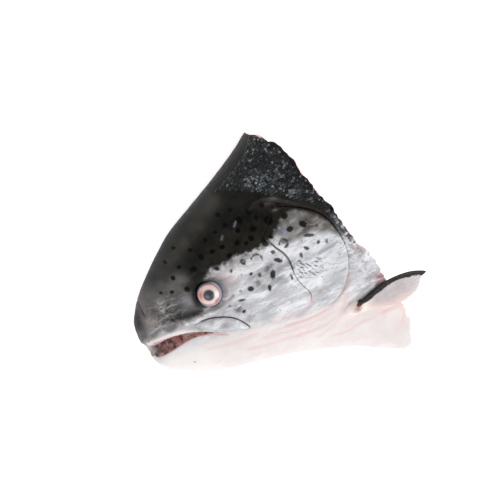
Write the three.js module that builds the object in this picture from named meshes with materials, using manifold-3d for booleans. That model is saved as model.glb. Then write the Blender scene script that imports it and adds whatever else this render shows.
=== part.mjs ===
import * as THREE from 'three';
import { mergeVertices } from 'three/addons/utils/BufferGeometryUtils.js';
import Module from 'manifold-3d';

// One half of a fish head split lengthwise, lying on its cut face. Millimetres, Z up.
// X runs from the snout back to the neck, Y from the throat up to the nape,
// Z from the cut face out to the skin of the left cheek.

// overall sizes
const headLength = 150;        // snout tip to the free edge of the gill cover
const headDepth = 150;         // scale of every height along Y
const halfWidth = 42;          // cut face to the widest point of the gill cover

// fits and thin parts
const clearance = 0.3;         // gap between pieces that sit in each other
const coverProud = 0.7;        // gill cover stands this far above the cheek
const coverInset = 2.2;        // and reaches this far below it
const jawPlateProud = 0.9;     // same two for the jaw plate at the mouth corner
const jawPlateInset = 1.7;
const finThickness = 2.4;
const finRootRadii = [8.5, 5, 4.2];

// eye, a flattened ball set into the socket
const eyeRadius = 9;
const eyeThickness = 6.2;      // half its thickness, along the outward direction
const eyeSink = 1.2;           // centre of the ball under the skin
const eyePlace = [37.3, 9.8];  // per cent of length and depth

// mouth and throat passage, open on the cut face
const throatRadius = 8.5;
const throatFlatten = 0.95;

// profile lines of the half head: [per cent of length, per cent of depth]
const napeLine = [[0, 5], [1.3, 10.2], [3.6, 14.3], [6, 17.2], [9.1, 20.7], [12.7, 24], [19.6, 29.4],
  [28.2, 35.2], [35, 39.3], [43, 42.8], [52.8, 46.3], [66.6, 51.4], [76.7, 55.6], [84, 58.9], [91.2, 62.8],
  [112, 70], [140, 76]];
const throatLine = [[0, -0.7], [1, -4.4], [2.9, -10.3], [4.5, -13.6], [8.1, -17.6], [13.9, -21.8], [19.8, -25.4],
  [28.4, -29.4], [40.5, -33.4], [54.6, -38], [63.7, -41.8], [76.8, -48], [86.2, -52.7], [95.1, -58.6],
  [106.7, -66.5], [114, -70], [140, -78]];
// level of the widest line along the cheek, and the width there in per cent of halfWidth
const cheekLine = [[0, 2.5], [13, 4.5], [38, 6.5], [57, 5], [77, 2], [97, 0], [117, -4], [140, -9]];
const widthLine = [[0, 9], [3.3, 22], [8, 31], [13, 40], [27, 57], [38, 69], [57, 84], [77, 95],
  [97, 100], [117, 93], [140, 70]];
// fullness of the flank below the cheek: round at the jaw, leaner at the throat flap
const flankPower = [[0, 2], [30, 2], [75, 1.7], [140, 1.6]];
const flankRoot = [[0, 0.5], [30, 0.55], [75, 0.78], [140, 0.85]];
const backPower = 2.2;
const backRoot = 0.5;

// outlines seen from the skin side: [per cent of length, per cent of depth]
const neckCut = [[91.2, 64], [91.8, 61.5], [93.9, 59.8], [96.4, 56.6], [98.8, 51.2], [100.2, 45.3], [101.4, 37],
  [103, 28.7], [104.5, 19.5], [105.9, 9.7], [107.6, -1.3], [110.3, -10.7], [111.6, -18.5], [112.2, -27],
  [113.6, -35], [115.2, -42], [115.4, -50], [114.8, -59], [113.4, -65.5], [109, -69.5]];
const gillCoverOutline = [[69, 24.5], [70, 28.5], [74, 31], [80, 30.5], [86.3, 27.4], [92.9, 22.8], [98.2, 17.4],
  [100.8, 11.8], [101.8, 6], [101.9, 1], [101.2, -4.5], [99.6, -9.3], [97.5, -13.5], [94.7, -17.2],
  [91.8, -20], [88, -22.3], [82.4, -23.8], [76.1, -24], [70.5, -22.8], [69.6, -19.6], [74.2, -18.6],
  [77.1, -16], [77.6, -12.5], [76.1, -8.4], [75, -3.5], [75.1, 0.5], [76.1, 5], [75.8, 9], [73.6, 13.4],
  [71, 18.8]];
const jawPlateOutline = [[19, -3], [22.5, -0.8], [29, -1.6], [37, -2.7], [43.4, -6.2], [46.9, -12.2],
  [46, -14], [42, -12.9], [35.5, -9.6], [27, -6], [21, -4.4]];
const mouthGap = [[-6, 0.8], [0, -0.3], [7.3, -1.3], [16, -2.8], [25.3, -4.8], [31, -8.1],
  [23.3, -8.3], [13.9, -7.8], [6.7, -6.5], [2, -3.6], [-6, -2.2]];
const finOutline = [[92.5, -30.8], [97.9, -29.2], [103.9, -27.7], [109.4, -27.2], [115.1, -27.6], [120.7, -28.8],
  [126, -30.8], [131.6, -34.6], [128.4, -35.6], [126.2, -38.3], [123.8, -40.4], [120.4, -41.3], [116, -41.8],
  [110, -40.8], [103.6, -38.2], [96.7, -36], [92.5, -34.2]];
const finRootPlace = [94, -31.6];
const throatPath = [[9, -4.6], [24, -8], [42, -12], [70, -15], [96, -16.5], [122, -18]];

// mesh fineness
const ringSegments = 36;       // round one cross-section, a quarter of them on the flat face
const flatShare = 0.22;
const stations = 34;           // cross-sections along the head
const stationBias = 1.5;       // crowds the cross-sections toward the snout
const reachBack = 1.4;         // the skin surface carries on past the neck cut
const prismReach = 60;
const tubeSides = 14;
const throatSteps = 18;

const wasm = await Module();
wasm.setup();

const interpolants = new Map();
function along(line, x) {
  if (!interpolants.has(line)) {
    interpolants.set(line, new THREE.CubicInterpolant(line.map(p => p[0]), line.map(p => p[1]), 1));
  }
  return interpolants.get(line).evaluate(x)[0];
}

// skin surface: x in millimetres, side from -1 (throat edge) through 0 (cheek line) to 1 (nape edge)
function skinPoint(x, side, offset) {
  const percent = 100 * x / headLength;
  const cheek = along(cheekLine, percent) * headDepth / 100;
  const edge = along(side < 0 ? throatLine : napeLine, percent) * headDepth / 100;
  const power = side < 0 ? along(flankPower, percent) : backPower;
  const root = side < 0 ? along(flankRoot, percent) : backRoot;
  const rise = Math.max(0, 1 - Math.abs(side) ** power) ** root;
  const width = along(widthLine, percent) * halfWidth / 100 + offset;
  return new THREE.Vector3(x, cheek + Math.abs(side) * (edge + Math.sign(side) * offset - cheek), width * rise);
}

function skinHeight(x, y) {
  const percent = 100 * x / headLength;
  const cheek = along(cheekLine, percent) * headDepth / 100;
  const edge = along(y < cheek ? throatLine : napeLine, percent) * headDepth / 100;
  return skinPoint(x, Math.sign(y - cheek) * Math.min(1, (y - cheek) / (edge - cheek)), 0).z;
}

// closed solid under the skin surface, flat on Z = 0
function halfOvalSolid(offset) {
  const geometry = new THREE.CylinderGeometry(1, 1, 1, ringSegments, stations);
  const position = geometry.attributes.position;
  for (let i = 0; i < position.count; i++) {
    const level = 0.5 - position.getY(i);
    const turn = (Math.atan2(position.getX(i), position.getZ(i)) / (2 * Math.PI) + 1) % 1;
    const x = headLength * reachBack * Math.max(0, level) ** stationBias;
    const onAxis = Math.hypot(position.getX(i), position.getZ(i)) < 0.5;
    let point;
    if (onAxis) {
      point = skinPoint(x, 0, offset);
      point.z = 0.5 * point.z;
    } else if (turn <= 1 - flatShare) {
      point = skinPoint(x, -Math.cos(Math.PI * turn / (1 - flatShare)), offset);
    } else {
      point = skinPoint(x, 1 - 2 * (turn - 1 + flatShare) / flatShare, offset);
      point.z = 0;
    }
    position.setXYZ(i, point.x - (level > 0 ? 0 : offset), point.y, point.z);
  }
  return solidFrom(geometry);
}

function solidFrom(geometry) {
  const bare = geometry.clone();
  bare.deleteAttribute('normal');
  bare.deleteAttribute('uv');
  const merged = mergeVertices(bare, 1e-4);
  const build = index => new wasm.Manifold(new wasm.Mesh({
    numProp: 3, vertProperties: new Float32Array(merged.attributes.position.array), triVerts: new Uint32Array(index) }));
  const index = merged.index.array;
  const solid = build(index);
  if (solid.volume() > 0) return solid;
  const flipped = Array.from(index);
  for (let i = 0; i < flipped.length; i += 3) [flipped[i], flipped[i + 1]] = [flipped[i + 1], flipped[i]];
  return build(flipped);
}

function toPlane([u, v]) {
  return new THREE.Vector2(u * headLength / 100, v * headDepth / 100);
}

// upright prism over a smooth closed outline, grown sideways by `margin`
function outlinePrism(outline, margin, perSpan, base = -prismReach / 2) {
  const loop = new THREE.CatmullRomCurve3(outline.map(p => {
    const q = toPlane(p);
    return new THREE.Vector3(q.x, q.y, 0);
  }), true, 'centripetal');
  const count = outline.length * perSpan;
  const points = [];
  const area = THREE.ShapeUtils.area(outline.map(toPlane));
  for (let i = 0; i < count; i++) {
    const p = loop.getPoint(i / count);
    const t = loop.getTangent(i / count);
    const out = Math.sign(area) * margin;
    points.push(new THREE.Vector2(p.x + t.y * out, p.y - t.x * out));
  }
  const geometry = new THREE.ExtrudeGeometry(new THREE.Shape(points), { depth: prismReach * 1.5, bevelEnabled: false });
  geometry.translate(0, 0, base);
  return solidFrom(geometry);
}

// everything in front of the neck cut
function frontOfNeck() {
  const line = new THREE.CatmullRomCurve3(neckCut.map(p => new THREE.Vector3(...toPlane(p).toArray(), 0)), false, 'centripetal');
  const points = line.getPoints(neckCut.length * 2).map(p => new THREE.Vector2(p.x, p.y));
  points.push(new THREE.Vector2(-headLength, points.at(-1).y), new THREE.Vector2(-headLength, points[0].y));
  const geometry = new THREE.ExtrudeGeometry(new THREE.Shape(points), { depth: prismReach * 1.5, bevelEnabled: false });
  geometry.translate(0, 0, -prismReach / 2);
  return solidFrom(geometry);
}

// flattened ball whose short axis stands square to the skin
function skinBall([u, v], radii, sink, margin) {
  const place = toPlane([u, v]);
  const z = skinHeight(place.x, place.y);
  const step = eyeRadius / 2;
  const outward = new THREE.Vector3(
    (skinHeight(place.x - step, place.y) - skinHeight(place.x + step, place.y)) / (2 * step),
    (skinHeight(place.x, place.y - step) - skinHeight(place.x, place.y + step)) / (2 * step), 1).normalize();
  const geometry = new THREE.SphereGeometry(1, 24, 14);
  geometry.rotateX(Math.PI / 2);
  geometry.scale(radii[0] + margin, radii[1] + margin, radii[2] + margin);
  geometry.applyQuaternion(new THREE.Quaternion().setFromUnitVectors(new THREE.Vector3(0, 0, 1), outward));
  geometry.translate(place.x - outward.x * sink, place.y - outward.y * sink, z - outward.z * sink);
  return solidFrom(geometry);
}

function throatTube() {
  const path = new THREE.CatmullRomCurve3(throatPath.map(p => new THREE.Vector3(...toPlane(p).toArray(), 0)));
  const ring = new THREE.Shape();
  ring.absellipse(0, 0, throatRadius * throatFlatten, throatRadius, 0, 2 * Math.PI);
  return solidFrom(new THREE.ExtrudeGeometry(ring,
    { steps: throatSteps, curveSegments: tubeSides, extrudePath: path, bevelEnabled: false }));
}

const skin = halfOvalSolid(0);
const plateSolid = (outline, proud, inset) =>
  outlinePrism(outline, 0, 2).intersect(halfOvalSolid(proud)).subtract(halfOvalSolid(-inset));
const plateSeat = (outline, inset) =>
  outlinePrism(outline, clearance, 2).subtract(halfOvalSolid(-inset - clearance));

const gillCover = plateSolid(gillCoverOutline, coverProud, coverInset);
const jawPlate = plateSolid(jawPlateOutline, jawPlateProud, jawPlateInset);
const eyeRadii = [eyeRadius, eyeRadius, eyeThickness];
const eye = skinBall(eyePlace, eyeRadii, eyeSink, 0);
const finBlade = outlinePrism(finOutline, 0, 2)
  .intersect(halfOvalSolid(clearance + finThickness)).subtract(halfOvalSolid(clearance));
const fin = finBlade.add(skinBall(finRootPlace, finRootRadii, 0, 0));

const head = skin.intersect(frontOfNeck())
  .subtract(outlinePrism(mouthGap, 0, 2))
  .subtract(throatTube())
  .subtract(plateSeat(gillCoverOutline, coverInset).intersect(outlinePrism(gillCoverOutline, clearance * 2, 2, 0)))
  .subtract(plateSeat(jawPlateOutline, jawPlateInset).intersect(outlinePrism(jawPlateOutline, clearance * 2, 2, 0)))
  .subtract(skinBall(eyePlace, eyeRadii, eyeSink, clearance))
  .subtract(skinBall(finRootPlace, finRootRadii, 0, clearance));

const pieces = [
  ['head', head, { color: 0x8d8f92, roughness: 0.4, metalness: 0 }],
  ['eye', eye, { color: 0xe9c3b6, roughness: 0.15, metalness: 0 }],
  ['jaw_plate', jawPlate, { color: 0xd4d6d9, roughness: 0.35, metalness: 0 }],
  ['gill_cover', gillCover, { color: 0xdcdee1, roughness: 0.35, metalness: 0 }],
  ['pectoral_fin', fin, { color: 0xd8cfcd, roughness: 0.5, metalness: 0 }],
];

const group = new THREE.Group();
group.name = 'fish_head';
const whole = new THREE.Box3();
for (const [name, solid, look] of pieces) {
  const mesh = solid.getMesh();
  const geometry = new THREE.BufferGeometry();
  geometry.setAttribute('position', new THREE.BufferAttribute(new Float32Array(mesh.vertProperties), 3));
  geometry.setIndex(new THREE.BufferAttribute(new Uint32Array(mesh.triVerts), 1));
  geometry.computeBoundingBox();
  whole.union(geometry.boundingBox);
  const piece = new THREE.Mesh(geometry, new THREE.MeshStandardMaterial(look));
  piece.name = name;
  group.add(piece);
}
// origin under the middle of the part, on the cut face
const middle = whole.getCenter(new THREE.Vector3());
for (const piece of group.children) {
  piece.geometry.translate(-middle.x, -middle.y, -whole.min.z);
  piece.geometry.computeVertexNormals();
}

export default group;
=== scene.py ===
import math

import bpy
import numpy as np
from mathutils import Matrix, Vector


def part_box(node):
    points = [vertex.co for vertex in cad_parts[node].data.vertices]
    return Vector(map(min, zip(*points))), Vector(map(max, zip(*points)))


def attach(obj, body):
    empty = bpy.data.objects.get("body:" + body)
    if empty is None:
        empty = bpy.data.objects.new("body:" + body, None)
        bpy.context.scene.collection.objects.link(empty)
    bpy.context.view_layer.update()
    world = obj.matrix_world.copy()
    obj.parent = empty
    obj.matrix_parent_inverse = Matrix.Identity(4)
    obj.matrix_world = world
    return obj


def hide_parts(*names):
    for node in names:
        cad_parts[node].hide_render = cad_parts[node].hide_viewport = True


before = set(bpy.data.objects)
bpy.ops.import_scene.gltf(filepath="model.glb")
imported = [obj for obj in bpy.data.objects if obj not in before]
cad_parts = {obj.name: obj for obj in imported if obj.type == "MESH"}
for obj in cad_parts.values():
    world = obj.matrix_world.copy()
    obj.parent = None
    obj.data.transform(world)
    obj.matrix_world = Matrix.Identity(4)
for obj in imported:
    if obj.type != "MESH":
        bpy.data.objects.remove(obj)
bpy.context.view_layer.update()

import openvdb
from mathutils import Matrix, Vector

# Everything is worked out in head space first: millimetres, snout tip at 0, mouth line at 0,
# x toward the neck, y toward the nape, z out through the cheek. toRow puts it in the part's frame.
headLow = Vector(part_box("head")[0])
headSpace = {
    "throatDrop": 102.638,       # lowest corner of the throat flap below the mouth line
    "length": 150.0,
    "halfWidth": 42.0,
}
shift = np.array([headLow.x, headLow.y + headSpace["throatDrop"] / 1000, headLow.z])


def toRow(points):
    return np.asarray(points, dtype=float) / 1000 + shift


def srgb(red, green, blue):
    c = np.array([red, green, blue]) / 255
    return np.where(c <= 0.04045, c / 12.92, ((c + 0.055) / 1.055) ** 2.4)


def rgba(red, green, blue):
    return (*[float(v) for v in srgb(red, green, blue)], 1.0)


# profile lines of the half head, per cent of length against per cent of depth
profile = {
    "nape": [(0, 5), (1.3, 10.2), (3.6, 14.3), (6, 17.2), (9.1, 20.7), (12.7, 24), (19.6, 29.4), (28.2, 35.2),
             (35, 39.3), (43, 42.8), (52.8, 46.3), (66.6, 51.4), (76.7, 55.6), (84, 58.9), (91.2, 62.8),
             (112, 70), (140, 76)],
    "throat": [(0, -0.7), (1, -4.4), (2.9, -10.3), (4.5, -13.6), (8.1, -17.6), (13.9, -21.8), (19.8, -25.4),
               (28.4, -29.4), (40.5, -33.4), (54.6, -38), (63.7, -41.8), (76.8, -48), (86.2, -52.7),
               (95.1, -58.6), (106.7, -66.5), (114, -70), (140, -78)],
    "cheek": [(0, 2.5), (13, 4.5), (38, 6.5), (57, 5), (77, 2), (97, 0), (117, -4), (140, -9)],
    "width": [(0, 9), (3.3, 22), (8, 31), (13, 40), (27, 57), (38, 69), (57, 84), (77, 95), (97, 100),
              (117, 93), (140, 70)],
    "flankPower": [(0, 2), (30, 2), (75, 1.7), (140, 1.6)],
    "flankRoot": [(0, 0.5), (30, 0.55), (75, 0.78), (140, 0.85)],
    "neck": [(91.2, 64), (91.8, 61.5), (93.9, 59.8), (96.4, 56.6), (98.8, 51.2), (100.2, 45.3), (101.4, 37),
             (103, 28.7), (104.5, 19.5), (105.9, 9.7), (107.6, -1.3), (110.3, -10.7), (111.6, -18.5),
             (112.2, -27), (113.6, -35), (115.2, -42), (115.4, -50), (114.8, -59), (113.4, -65.5),
             (109, -69.5)],
}


def follow(pairs, x):
    px, py = np.array(pairs, dtype=float).T
    slope = np.gradient(py, px)
    slope[1:-1] = (py[2:] - py[:-2]) / (px[2:] - px[:-2])
    x = np.clip(x, px[0], px[-1])
    i = np.clip(np.searchsorted(px, x, side="right") - 1, 0, len(px) - 2)
    h = px[i + 1] - px[i]
    t = (x - px[i]) / h
    return ((2 * t**3 - 3 * t**2 + 1) * py[i] + (t**3 - 2 * t**2 + t) * h * slope[i]
            + (-2 * t**3 + 3 * t**2) * py[i + 1] + (t**3 - t**2) * h * slope[i + 1])


def ovalLevel(x, y, z):
    percent = 100 * x / headSpace["length"]
    unit = headSpace["length"] / 100
    cheek = follow(profile["cheek"], percent) * unit
    low = y < cheek
    edge = np.where(low, follow(profile["throat"], percent), follow(profile["nape"], percent)) * unit
    power = np.where(low, follow(profile["flankPower"], percent), 2.2)
    root = np.where(low, follow(profile["flankRoot"], percent), 0.5)
    side = np.abs((y - cheek) / (edge - cheek))
    width = follow(profile["width"], percent) * headSpace["halfWidth"] / 100
    return side**power + (np.abs(z) / width) ** (1 / root) - 1


# distance to the plain skin surface, positive outside
def skinDistance(x, y, z):
    e = 0.25
    level = ovalLevel(x, y, z)
    gx = (ovalLevel(x + e, y, z) - ovalLevel(x - e, y, z)) / (2 * e)
    gy = (ovalLevel(x, y + e, z) - ovalLevel(x, y - e, z)) / (2 * e)
    gz = (ovalLevel(x, y, z + e) - level) / e
    return level / np.sqrt(gx**2 + gy**2 + gz**2 + 1e-9)


def skinHeight(x, y):
    x, y = np.asarray(x, dtype=float), np.asarray(y, dtype=float)
    low, high = np.zeros(np.broadcast(x, y).shape), np.full(np.broadcast(x, y).shape, 60.0)
    for halving in range(40):
        middle = (low + high) / 2
        inside = ovalLevel(x, y, middle) < 0
        low, high = np.where(inside, middle, low), np.where(inside, high, middle)
    return low


def skinNormal(x, y):
    e = 0.6
    n = np.stack([skinHeight(x - e, y) - skinHeight(x + e, y), skinHeight(x, y - e) - skinHeight(x, y + e),
                  np.full(np.shape(x), 2 * e)], axis=-1)
    return n / np.linalg.norm(n, axis=-1, keepdims=True)


# cut keeps what is in both distance fields, join what is in either, with a rounded corner
def cut(a, b, corner):
    h = np.maximum(corner - np.abs(a - b), 0) / corner
    return np.maximum(a, b) + h * h * corner / 4


def join(a, b, corner):
    return -cut(-a, -b, corner)


def lineDistance(points, x, y, closed=False):
    points = np.array(points, dtype=float)
    ends = np.roll(points, -1, axis=0) if closed else points[1:]
    best = np.full(np.broadcast(x, y).shape, 1e9)
    for (ax, ay), (bx, by) in zip(points[: len(ends)], ends):
        dx, dy = bx - ax, by - ay
        t = np.clip(((x - ax) * dx + (y - ay) * dy) / (dx * dx + dy * dy + 1e-12), 0, 1)
        best = np.minimum(best, (x - ax - t * dx) ** 2 + (y - ay - t * dy) ** 2)
    return np.sqrt(best)


def loopDistance(points, x, y):
    points = np.array(points, dtype=float)
    inside = np.zeros(np.broadcast(x, y).shape, dtype=bool)
    for (ax, ay), (bx, by) in zip(points, np.roll(points, -1, axis=0)):
        crosses = (ay > y) != (by > y)
        inside ^= crosses & (x < (bx - ax) * (y - ay) / (by - ay if by != ay else 1e-9) + ax)
    return np.where(inside, -1, 1) * lineDistance(points, x, y, closed=True)


# smooth curve through the points
def rounded(points, perSpan=6, closed=True):
    p = np.array(points, dtype=float)
    p = np.vstack([p[-1:], p, p[:2]] if closed else [p[:1], p, p[-1:]])
    t = np.arange(perSpan)[:, None] / perSpan
    spans = [0.5 * (2 * b + (c - a) * t + (2 * a - 5 * b + 4 * c - d) * t**2 + (3 * b - a - 3 * c + d) * t**3)
             for a, b, c, d in zip(p, p[1:], p[2:], p[3:])]
    return np.vstack(spans if closed else [*spans, p[-1:]])


# smooth random waves between -1 and 1
def ripple(x, y, size, seed):
    table = np.random.default_rng(seed).uniform(-1, 1, (64, 64))
    u, v = x / size + 100, y / size + 100
    i, j = np.floor(u).astype(int), np.floor(v).astype(int)
    s, t = u - i, v - j
    s, t = s * s * (3 - 2 * s), t * t * (3 - 2 * t)
    pick = lambda a, b: table[a % 64, b % 64]
    return ((pick(i, j) * (1 - s) + pick(i + 1, j) * s) * (1 - t)
            + (pick(i, j + 1) * (1 - s) + pick(i + 1, j + 1) * s) * t)


def bell(distance, reach):
    return np.exp(-((distance / reach) ** 2))


def ease(value, low, high):
    t = np.clip((value - low) / (high - low), 0, 1)
    return t * t * (3 - 2 * t)


def fromPercent(outline):
    return [(u * headSpace["length"] / 100, v * headSpace["length"] / 100) for u, v in outline]


# outlines shared by the pieces, in head space millimetres
gillOutline = rounded(fromPercent([
    (69, 24.5), (70, 28.5), (74, 31), (80, 30.5), (86.3, 27.4), (92.9, 22.8), (98.2, 17.4), (100.8, 11.8),
    (101.8, 6), (101.9, 1), (101.2, -4.5), (99.6, -9.3), (97.5, -13.5), (94.7, -17.2), (91.8, -20),
    (88, -22.3), (82.4, -23.8), (76.1, -24), (70.5, -22.8), (69.6, -19.6), (74.2, -18.6), (77.1, -16),
    (77.6, -12.5), (76.1, -8.4), (75, -3.5), (75.1, 0.5), (76.1, 5), (75.8, 9), (73.6, 13.4), (71, 18.8)]), 3)
jawOutline = rounded([
    (28.5, -4.2), (33.5, -1.2), (38.6, -0.3), (44.5, -0.6), (49.8, -1.7), (55, -3.9), (59.5, -6.6),
    (63.5, -10), (66.5, -14.2), (69, -19.2), (68, -20.8), (63.5, -18.3), (58, -15.8), (52.5, -13.8),
    (47.5, -11.4), (43, -8.4), (36.5, -5.6), (31, -4.9)], 3)
mouthOutline = rounded([
    (-9, 1.2), (2, 0.6), (8.4, -1.8), (15.8, -1.2), (20.7, -1.5), (25.5, -2.6), (30.9, -3.9), (36.9, -6.5),
    (42.5, -9.8), (46.5, -12.4), (42.0, -11.2), (37.5, -9.7), (31.9, -8.8), (24.9, -9.2), (17.7, -10.2),
    (10.8, -11), (6.4, -10.4), (2.1, -8.0), (-9, -6)], 3)
finOutline = rounded(fromPercent([
    (92.5, -30.8), (97.9, -29.2), (103.9, -27.7), (109.4, -27.2), (115.1, -27.6), (120.7, -28.8),
    (126, -30.8), (131.6, -34.6), (128.4, -35.6), (126.2, -38.3), (123.8, -40.4), (120.4, -41.3),
    (116, -41.8), (110, -40.8), (103.6, -38.2), (96.7, -36), (92.5, -34.2)]), 3)
neckLine = rounded(fromPercent(profile["neck"]), 4, closed=False)
neckLoop = np.vstack([neckLine, [(-60, neckLine[-1][1]), (-60, -140), (-60, 140), (neckLine[0][0], 140)]])
throatPath = [(25, -8.5), (42, -12), (70, -15), (96, -16.5), (122, -18)]
throatPath = rounded(fromPercent(throatPath), 4, closed=False)

# where the features of this head lie
marks = {
    "eye": (55.9, 14.7),
    "nostrils": [(25.8, 17.6, 1.7), (24.2, 20.4, 1.2)],
    "snoutCrease": [(13.8, 30.6), (13.0, 28.3), (12.3, 25.0), (11.8, 20.0)],
    "lipTop": [(2.2, 4.4), (13.3, 4.2), (20.7, 4.4), (28.1, 3.1), (33.9, 1.3), (38.9, 0.5)],
    "lipBand": [(2.1, 2.5), (8.0, 2.0), (13.8, 1.9), (19.6, 1.6), (25.5, 0.2), (31.1, -1.9), (37.3, -5.0)],
    "lipRed": [(8, 1.0), (10.9, 0.4), (17.2, 0.0), (24.4, -1.5), (30.2, -3.2), (36.7, -6.2), (43.6, -10.8),
               (53.8, -17.6)],
    "jawPlateTop": [(42.6, 0.0), (47.6, -0.7), (52.0, -2.3), (57.5, -4.9), (62.5, -8.6), (65.9, -12.9),
                    (68.2, -17.3), (69.6, -20.6)],
    "underEyeBone": [(33.4, 2.8), (39.5, 2.0), (46.9, 1.9), (54.0, 1.5), (61.0, 1.8), (66.9, 2.8),
                     (73.3, 3.4)],
    "darkUnderEye": [(27.0, 9.8), (33.4, 8.0), (39.5, 6.6), (45.5, 5.0)],
    "socketUnder": [(31.5, 11.8), (37.5, 9.3), (43.7, 7.2), (50.2, 4.6), (57.6, 3.6), (62.9, 3.4),
                    (69.6, 5.7)],
    "coverFront": [(106.7, 33.1), (108.1, 27.6), (109.8, 21.1), (112.5, 14.9), (113.5, 9.6), (113.2, 3.3),
                   (112.7, -3.6), (113.9, -10.9), (116.1, -18.1), (116.2, -23.3), (113.8, -27.1),
                   (109.3, -28.6), (103.3, -28.4), (95.7, -28.1), (86.9, -27.0)],
    "cheekBone": [(83.5, 16.6), (87.6, 15.8), (92.3, 14.6)],
    "gillSlit": [(112, 52), (118.6, 51.5), (125, 47.5), (131.4, 42.5), (139.2, 35.0), (145.5, 28.4),
                 (149.6, 22.1), (152.2, 15), (153.4, 8), (153.6, 1), (152.8, -7.5), (150.2, -14.9),
                 (146.8, -21.5), (142.1, -27.3), (137.7, -31.2), (131.5, -34.9), (124.6, -36.6),
                 (115.2, -37.2), (104.8, -36.5), (93.5, -33.8), (82.2, -31.1)],
    # flushed folds: path, half width, strength
    "folds": [([(84.4, -24.6), (97.0, -28.1), (106.6, -29.7), (114.8, -25.6)], 2.0, 0.35),
              ([(92, -33.5), (104, -36.6), (112.5, -37.8), (124.9, -37.4), (133.3, -33.9), (141.2, -28.8),
                (145.4, -22.3)], 1.2, 0.55),
              ([(96, -45), (107, -47.5), (118.7, -47.8), (128.2, -46.2), (133.9, -40.9), (137.8, -33.9)],
               2.0, 0.35),
              ([(62, -35), (74, -39.5), (88.9, -42.6), (104, -46)], 2.2, 0.28),
              ([(140.0, -33.8), (135.1, -41.3), (129.6, -46.9), (123.8, -50.5), (110, -55)], 2.0, 0.25),
              ([(124.9, -40.6), (115.4, -41.9), (102.3, -39.9), (90.1, -37), (75.1, -33)], 1.8, 0.28),
              ([(70, -27), (58, -25), (46, -22), (38, -19)], 2.6, 0.3),
              ([(150, -62), (142, -60), (132, -62), (120, -60)], 2.6, 0.28)],
    "collarBlood": [(159.2, -6.9), (160.9, -13), (160.7, -18.6)],
    "scratchLow": [(81.5, 42.6), (83.6, 44.6)],
    "scratchHigh": [(93.2, 46.2), (96.4, 48.6)],
    "oliveRidge": [(36, 42), (52, 49), (64, 54), (76, 59), (92, 67)],
    "snoutEdge": [(10, 32), (8, 24), (6, 18)],
    "whiteScar": [(8, 6.8), (13, 8.6), (18, 9.4), (23, 8.2), (28, 6.0)],
    "coverRise": [(108, 51), (114, 52.5), (119.6, 51.5), (125, 48), (131.4, 43)],
    "finShade": [(138, -43), (146, -40.5), (156, -37.5)],
    "finFold": [(156.5, -61.3), (164.0, -62.0), (170.7, -62.9), (171.8, -69.0), (167.5, -75.8)],
}
# dark back against the pale cheek: a closed loop round the dark side
darkLoop = rounded([
    (-20, -2), (-1, 1.0), (3, 4.2), (6.5, 6.4), (11.6, 8.6), (16.9, 9.3), (24, 8.4), (31, 7.0), (37.8, 5.4),
    (43.5, 4.8), (48.5, 6.4), (51.5, 9.5), (51.5, 14), (52.5, 19), (56, 23), (60.5, 25.8), (64.5, 28.4),
    (68.7, 28.4), (76.1, 27.8), (83.3, 28.4), (90.1, 27.0), (97.8, 25.7), (103.0, 26.0), (107.7, 27.0),
    (112.3, 28.4), (117.5, 31.4), (123.2, 36.1), (129.4, 37.3), (135.3, 35.5), (140.2, 30.9), (144.7, 25.9),
    (148.4, 20.6), (151.4, 13), (154, 8), (157, 3), (162, -3), (200, -6), (240, 60), (200, 140), (60, 140),
    (-60, 100)], 4)
scaleLoop = rounded([
    (150, 112), (136.3, 93.5), (129.4, 86.2), (123.4, 82.4), (115.7, 78.5), (106.8, 75.3), (98.3, 72.6),
    (93.5, 70.9), (102.1, 68.1), (110.1, 64.3), (117.3, 58.7), (124.3, 52.7), (132.5, 46.1), (139.5, 40.4),
    (145.6, 33.5), (150.0, 26.2), (153.0, 18.8), (155.0, 11.6), (156.0, 4.6), (156.6, -4), (160, -10),
    (200, -12), (220, 90)], 4)

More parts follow.
